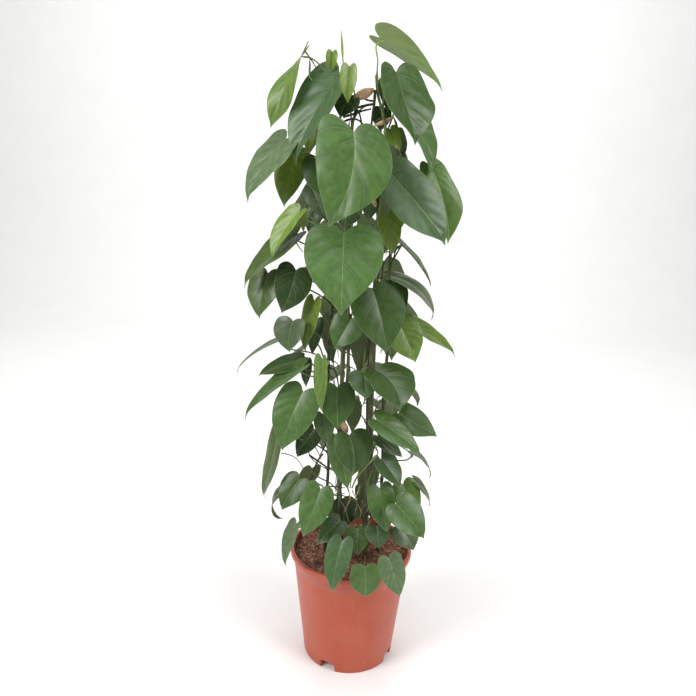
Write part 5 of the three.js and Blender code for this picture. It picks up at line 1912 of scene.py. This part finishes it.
# Bare stalks and roots seen between the stems: vine, picture places, radius and age
TWIGS = (
    Twig("front_right", ((375, 90, 34), (374.5, 101, 36), (373, 112, 36), (371, 128, 34)), 2.5),
    Twig("front_right", ((374, 101, 36), (369, 100.5, 37), (362, 98.5, 36), (356, 101, 36)), 1.8),
    Twig("front_right", ((374, 104, 36), (363, 106, 38), (352, 110, 38), (345, 114, 36)), 2.2),
    Twig("front_right", ((377, 92, 32), (379, 101, 30), (383, 107, 24)), 1.6),
    Twig("front_left", ((348, 92, 40), (354, 105, 42), (359.5, 114, 42), (362, 128, 38)), 1.9),
    Twig("front_left", ((343, 117, 44), (352, 114.5, 44), (362, 111, 42), (371, 109, 40)), 2.1),
    Twig("front_left", ((343, 122, 44), (351, 119, 46), (358, 120, 44), (364, 125, 42)), 1.9),
    Twig("front_left", ((351, 128, 44), (354, 119, 46), (360, 110, 46), (366, 106, 42)), 1.7),
    Twig("left", ((304, 50, 12), (309, 56.5, 12), (314, 64, 14), (318, 72, 16)), 1.3),
    Twig("left", ((281, 453, 60), (290, 455, 58), (297, 459, 56), (303, 468, 54)), 1.0),
    Twig("left", ((309, 455, 50), (320, 462.5, 52), (326.5, 468, 50), (327.5, 478, 48)), 2.0),
    Twig("left", ((323, 454, 50), (316, 464, 52), (311, 479, 54)), 1.5),
    Twig("left", ((307, 449, 52), (313, 460, 54), (326, 469, 54)), 1.1),
    Twig("front_left", ((326, 444, 60), (320, 456, 56), (314, 471, 54)), 1.4),
    Twig("front_left", ((315, 447, 60), (318, 452, 60), (321, 459, 60)), 1.2, 0.2),
    Twig("front_right", ((376, 456, 70), (365, 467, 72), (357, 477, 72), (352, 488, 70)), 2.3, 0.15),
    Twig("front_left", ((329, 486, 60), (337, 487, 62), (345, 488, 60)), 1.2),
    Twig("front_left", ((329, 494, 60), (337, 495.5, 62), (345, 493, 60)), 1.2),
    Twig("right", ((402, 244, 10), (396, 255, 14), (390, 265, 18)), 1.6),
    Twig("front_right", ((399, 247, 30), (390, 255, 32), (384, 263, 34), (382, 279, 36)), 1.6),
    Twig("left", ((295.5, 241, 40), (299, 247, 40), (303, 252, 38)), 1.2),
    Twig("front_left", ((352, 286, 44), (353, 305, 46), (351, 322, 46), (352, 345, 44)), 1.7),
    Twig("front_left", ((346, 330, 44), (347, 350, 46), (350, 372, 46), (349, 392, 44)), 1.5),
    Twig("front_right", ((366, 344, 44), (364, 362, 46), (366, 384, 46), (364, 404, 44)), 1.5, 0.6),
    Twig("front_right", ((372, 404, 44), (369, 424, 46), (372, 444, 46), (369, 466, 44)), 1.5, 0.7),
    Twig("front_left", ((352, 434, 50), (349, 452, 52), (352, 470, 52), (350, 488, 50)), 1.4, 0.8),
    Twig("front_right", ((358, 440, 50), (361, 458, 52), (358, 478, 52), (360, 498, 50)), 1.4, 0.6),
    Twig("front_left", ((338, 454, 56), (341, 468, 58), (337, 484, 58), (340, 500, 56)), 1.3, 0.5),
    Twig("front_right", ((372, 470, 60), (368, 484, 62), (371, 498, 62), (367, 512, 60)), 1.5, 0.3),
)


@dataclass
class DryParts:
    """The dry sheaths and the loose pale roots that the picture shows between the stems."""

    sight: Sight
    samples: int = 30

    def root(self, shape: Shape, spots: tuple[Spot, ...], radius: float) -> None:
        """Adds a loose root: a bar that thins by two fifths, made lumpy by two sines along it.

        Args:
            shape: the shape it is added to.
            spots: the picture places it runs through.
            radius: its radius at the start.
        """
        path = smooth_path(np.array([self.sight.point(spot) for spot in spots]), self.samples)
        lumps = 1 + 0.18 * np.sin(np.linspace(0, 19, self.samples)) + 0.1 * np.sin(
            np.linspace(0, 47, self.samples)
        )
        points, faces = tube(path, radius * lumps * np.linspace(1, 0.6, self.samples), 8, AHEAD)
        shape.add(points, faces)

    def build(self) -> None:
        """Makes one piece of all the sheaths and one of all the loose roots."""
        paper = FibreFinish(
            "sheath_dry_papery", "#DDBE97", "#8E5F42", 1.4, (1.0, 1.0, 0.15), 0.75, 0.25
        ).build()
        cork = FibreFinish("air_root_corky", "#B9A88A", "#6E5A40", 1.6, (1.0, 1.0, 0.2), 0.85, 0.3).build()
        sheets, roots = Shape(), Shape()
        for number, sheath in enumerate(SHEATHS):
            sheath.grow(sheets, self.sight, 40 + number)
        for spots, radius in LOOSE_ROOTS:
            self.root(roots, spots, radius)
        settle(sheets.make("dry_sheaths", paper), "leaf_and_stem")
        settle(roots.make("loose_roots", cork), "leaf_and_stem")


@dataclass(frozen=True)
class Lamp:
    """A square soft light: its place, side and target in metres, and its power in watts."""

    name: str
    place: Spot
    size: float
    power: float
    target: Spot = (0.0, 0.0, 0.6)

    def add(self) -> None:
        """Adds the lamp, turned to face its target."""
        data = bpy.data.lights.new(self.name, "AREA")
        data.shape, data.size, data.energy = "SQUARE", self.size, self.power
        lamp = bpy.data.objects.new(self.name, data)
        lamp.location = self.place
        aim = Vector(self.target) - Vector(self.place)
        lamp.rotation_euler = aim.to_track_quat("-Z", "Y").to_euler()
        bpy.context.scene.collection.objects.link(lamp)


@dataclass
class Studio:
    """A pale floor that sweeps up behind the plant, soft lights and the picture's camera."""

    sight: Sight
    half_wide: float = 7000.0
    near: float = -6000.0
    flat: float = 2600.0
    sweep: float = 1200.0
    tall: float = 3600.0
    fill: float = 0.38
    seen: float = 0.96

    LAMPS = (
        Lamp("soft_right", (2.1, -1.5, 2.1), 1.3, 42),
        Lamp("soft_left", (-2.1, -1.5, 2.1), 1.3, 56),
        Lamp("soft_top", (0.1, -0.5, 2.9), 1.4, 22),
        Lamp("backdrop_wash", (0.0, 1.4, 3.2), 2.0, 60, (0.0, 4.5, 0.4)),
    )

    def floor(self) -> None:
        """Adds the backdrop: a plane that runs back and turns up in a quarter circle."""
        shape = Shape()
        turn = np.radians(np.linspace(0, 90, 16))
        y = np.concatenate([[self.near], self.flat + self.sweep * np.sin(turn), [self.flat + self.sweep]])
        z = np.concatenate([[0.0], self.sweep - self.sweep * np.cos(turn), [self.tall]])
        x = np.array([-self.half_wide, self.half_wide])
        points = np.stack(np.broadcast_arrays(x[None], y[:, None], z[:, None]), axis=-1)
        shape.add(points.reshape(-1, 3), [grid_faces(len(y), 2)])
        floor = shape.make("studio_floor", FloorFinish().build())

    def world(self) -> None:
        """Sets the world: a dim even fill for the light, and nearly white where the camera sees it."""
        world = bpy.data.worlds.new("studio_world")
        world.use_nodes = True
        tree = world.node_tree
        tree.nodes.clear()
        add = partial(add_node, tree)
        direct = add("LightPath").outputs["Is Camera Ray"]
        glow = add("MapRange", {"Value": direct, "To Min": self.fill, "To Max": self.seen})
        sky = add("Background", {"Color": srgb("#FFFFFF"), "Strength": glow.outputs[0]})
        add("OutputWorld", {"Surface": sky.outputs[0]})
        bpy.context.scene.world = world
        bpy.context.scene.view_settings.view_transform = "Standard"

    def build(self) -> None:
        """Sets the world, the lights, the floor and the camera."""
        self.world()
        for lamp in self.LAMPS:
            lamp.add()
        self.floor()
        self.sight.camera()


def main() -> None:
    """Builds every piece round the frame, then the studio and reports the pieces."""
    logging.basicConfig(level=logging.INFO)
    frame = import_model()
    log.info("frame with %d nodes", len(frame["nodes"]))
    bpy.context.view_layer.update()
    sight, pot = Sight(), Pot()
    pot.build()
    Soil(pot).build()
    Support().build()
    Foliage(sight).build(LeafFinish().build(), StemFinish().build())
    DryParts(sight).build()
    Studio(sight).build()


if __name__ == "__main__":
    main()
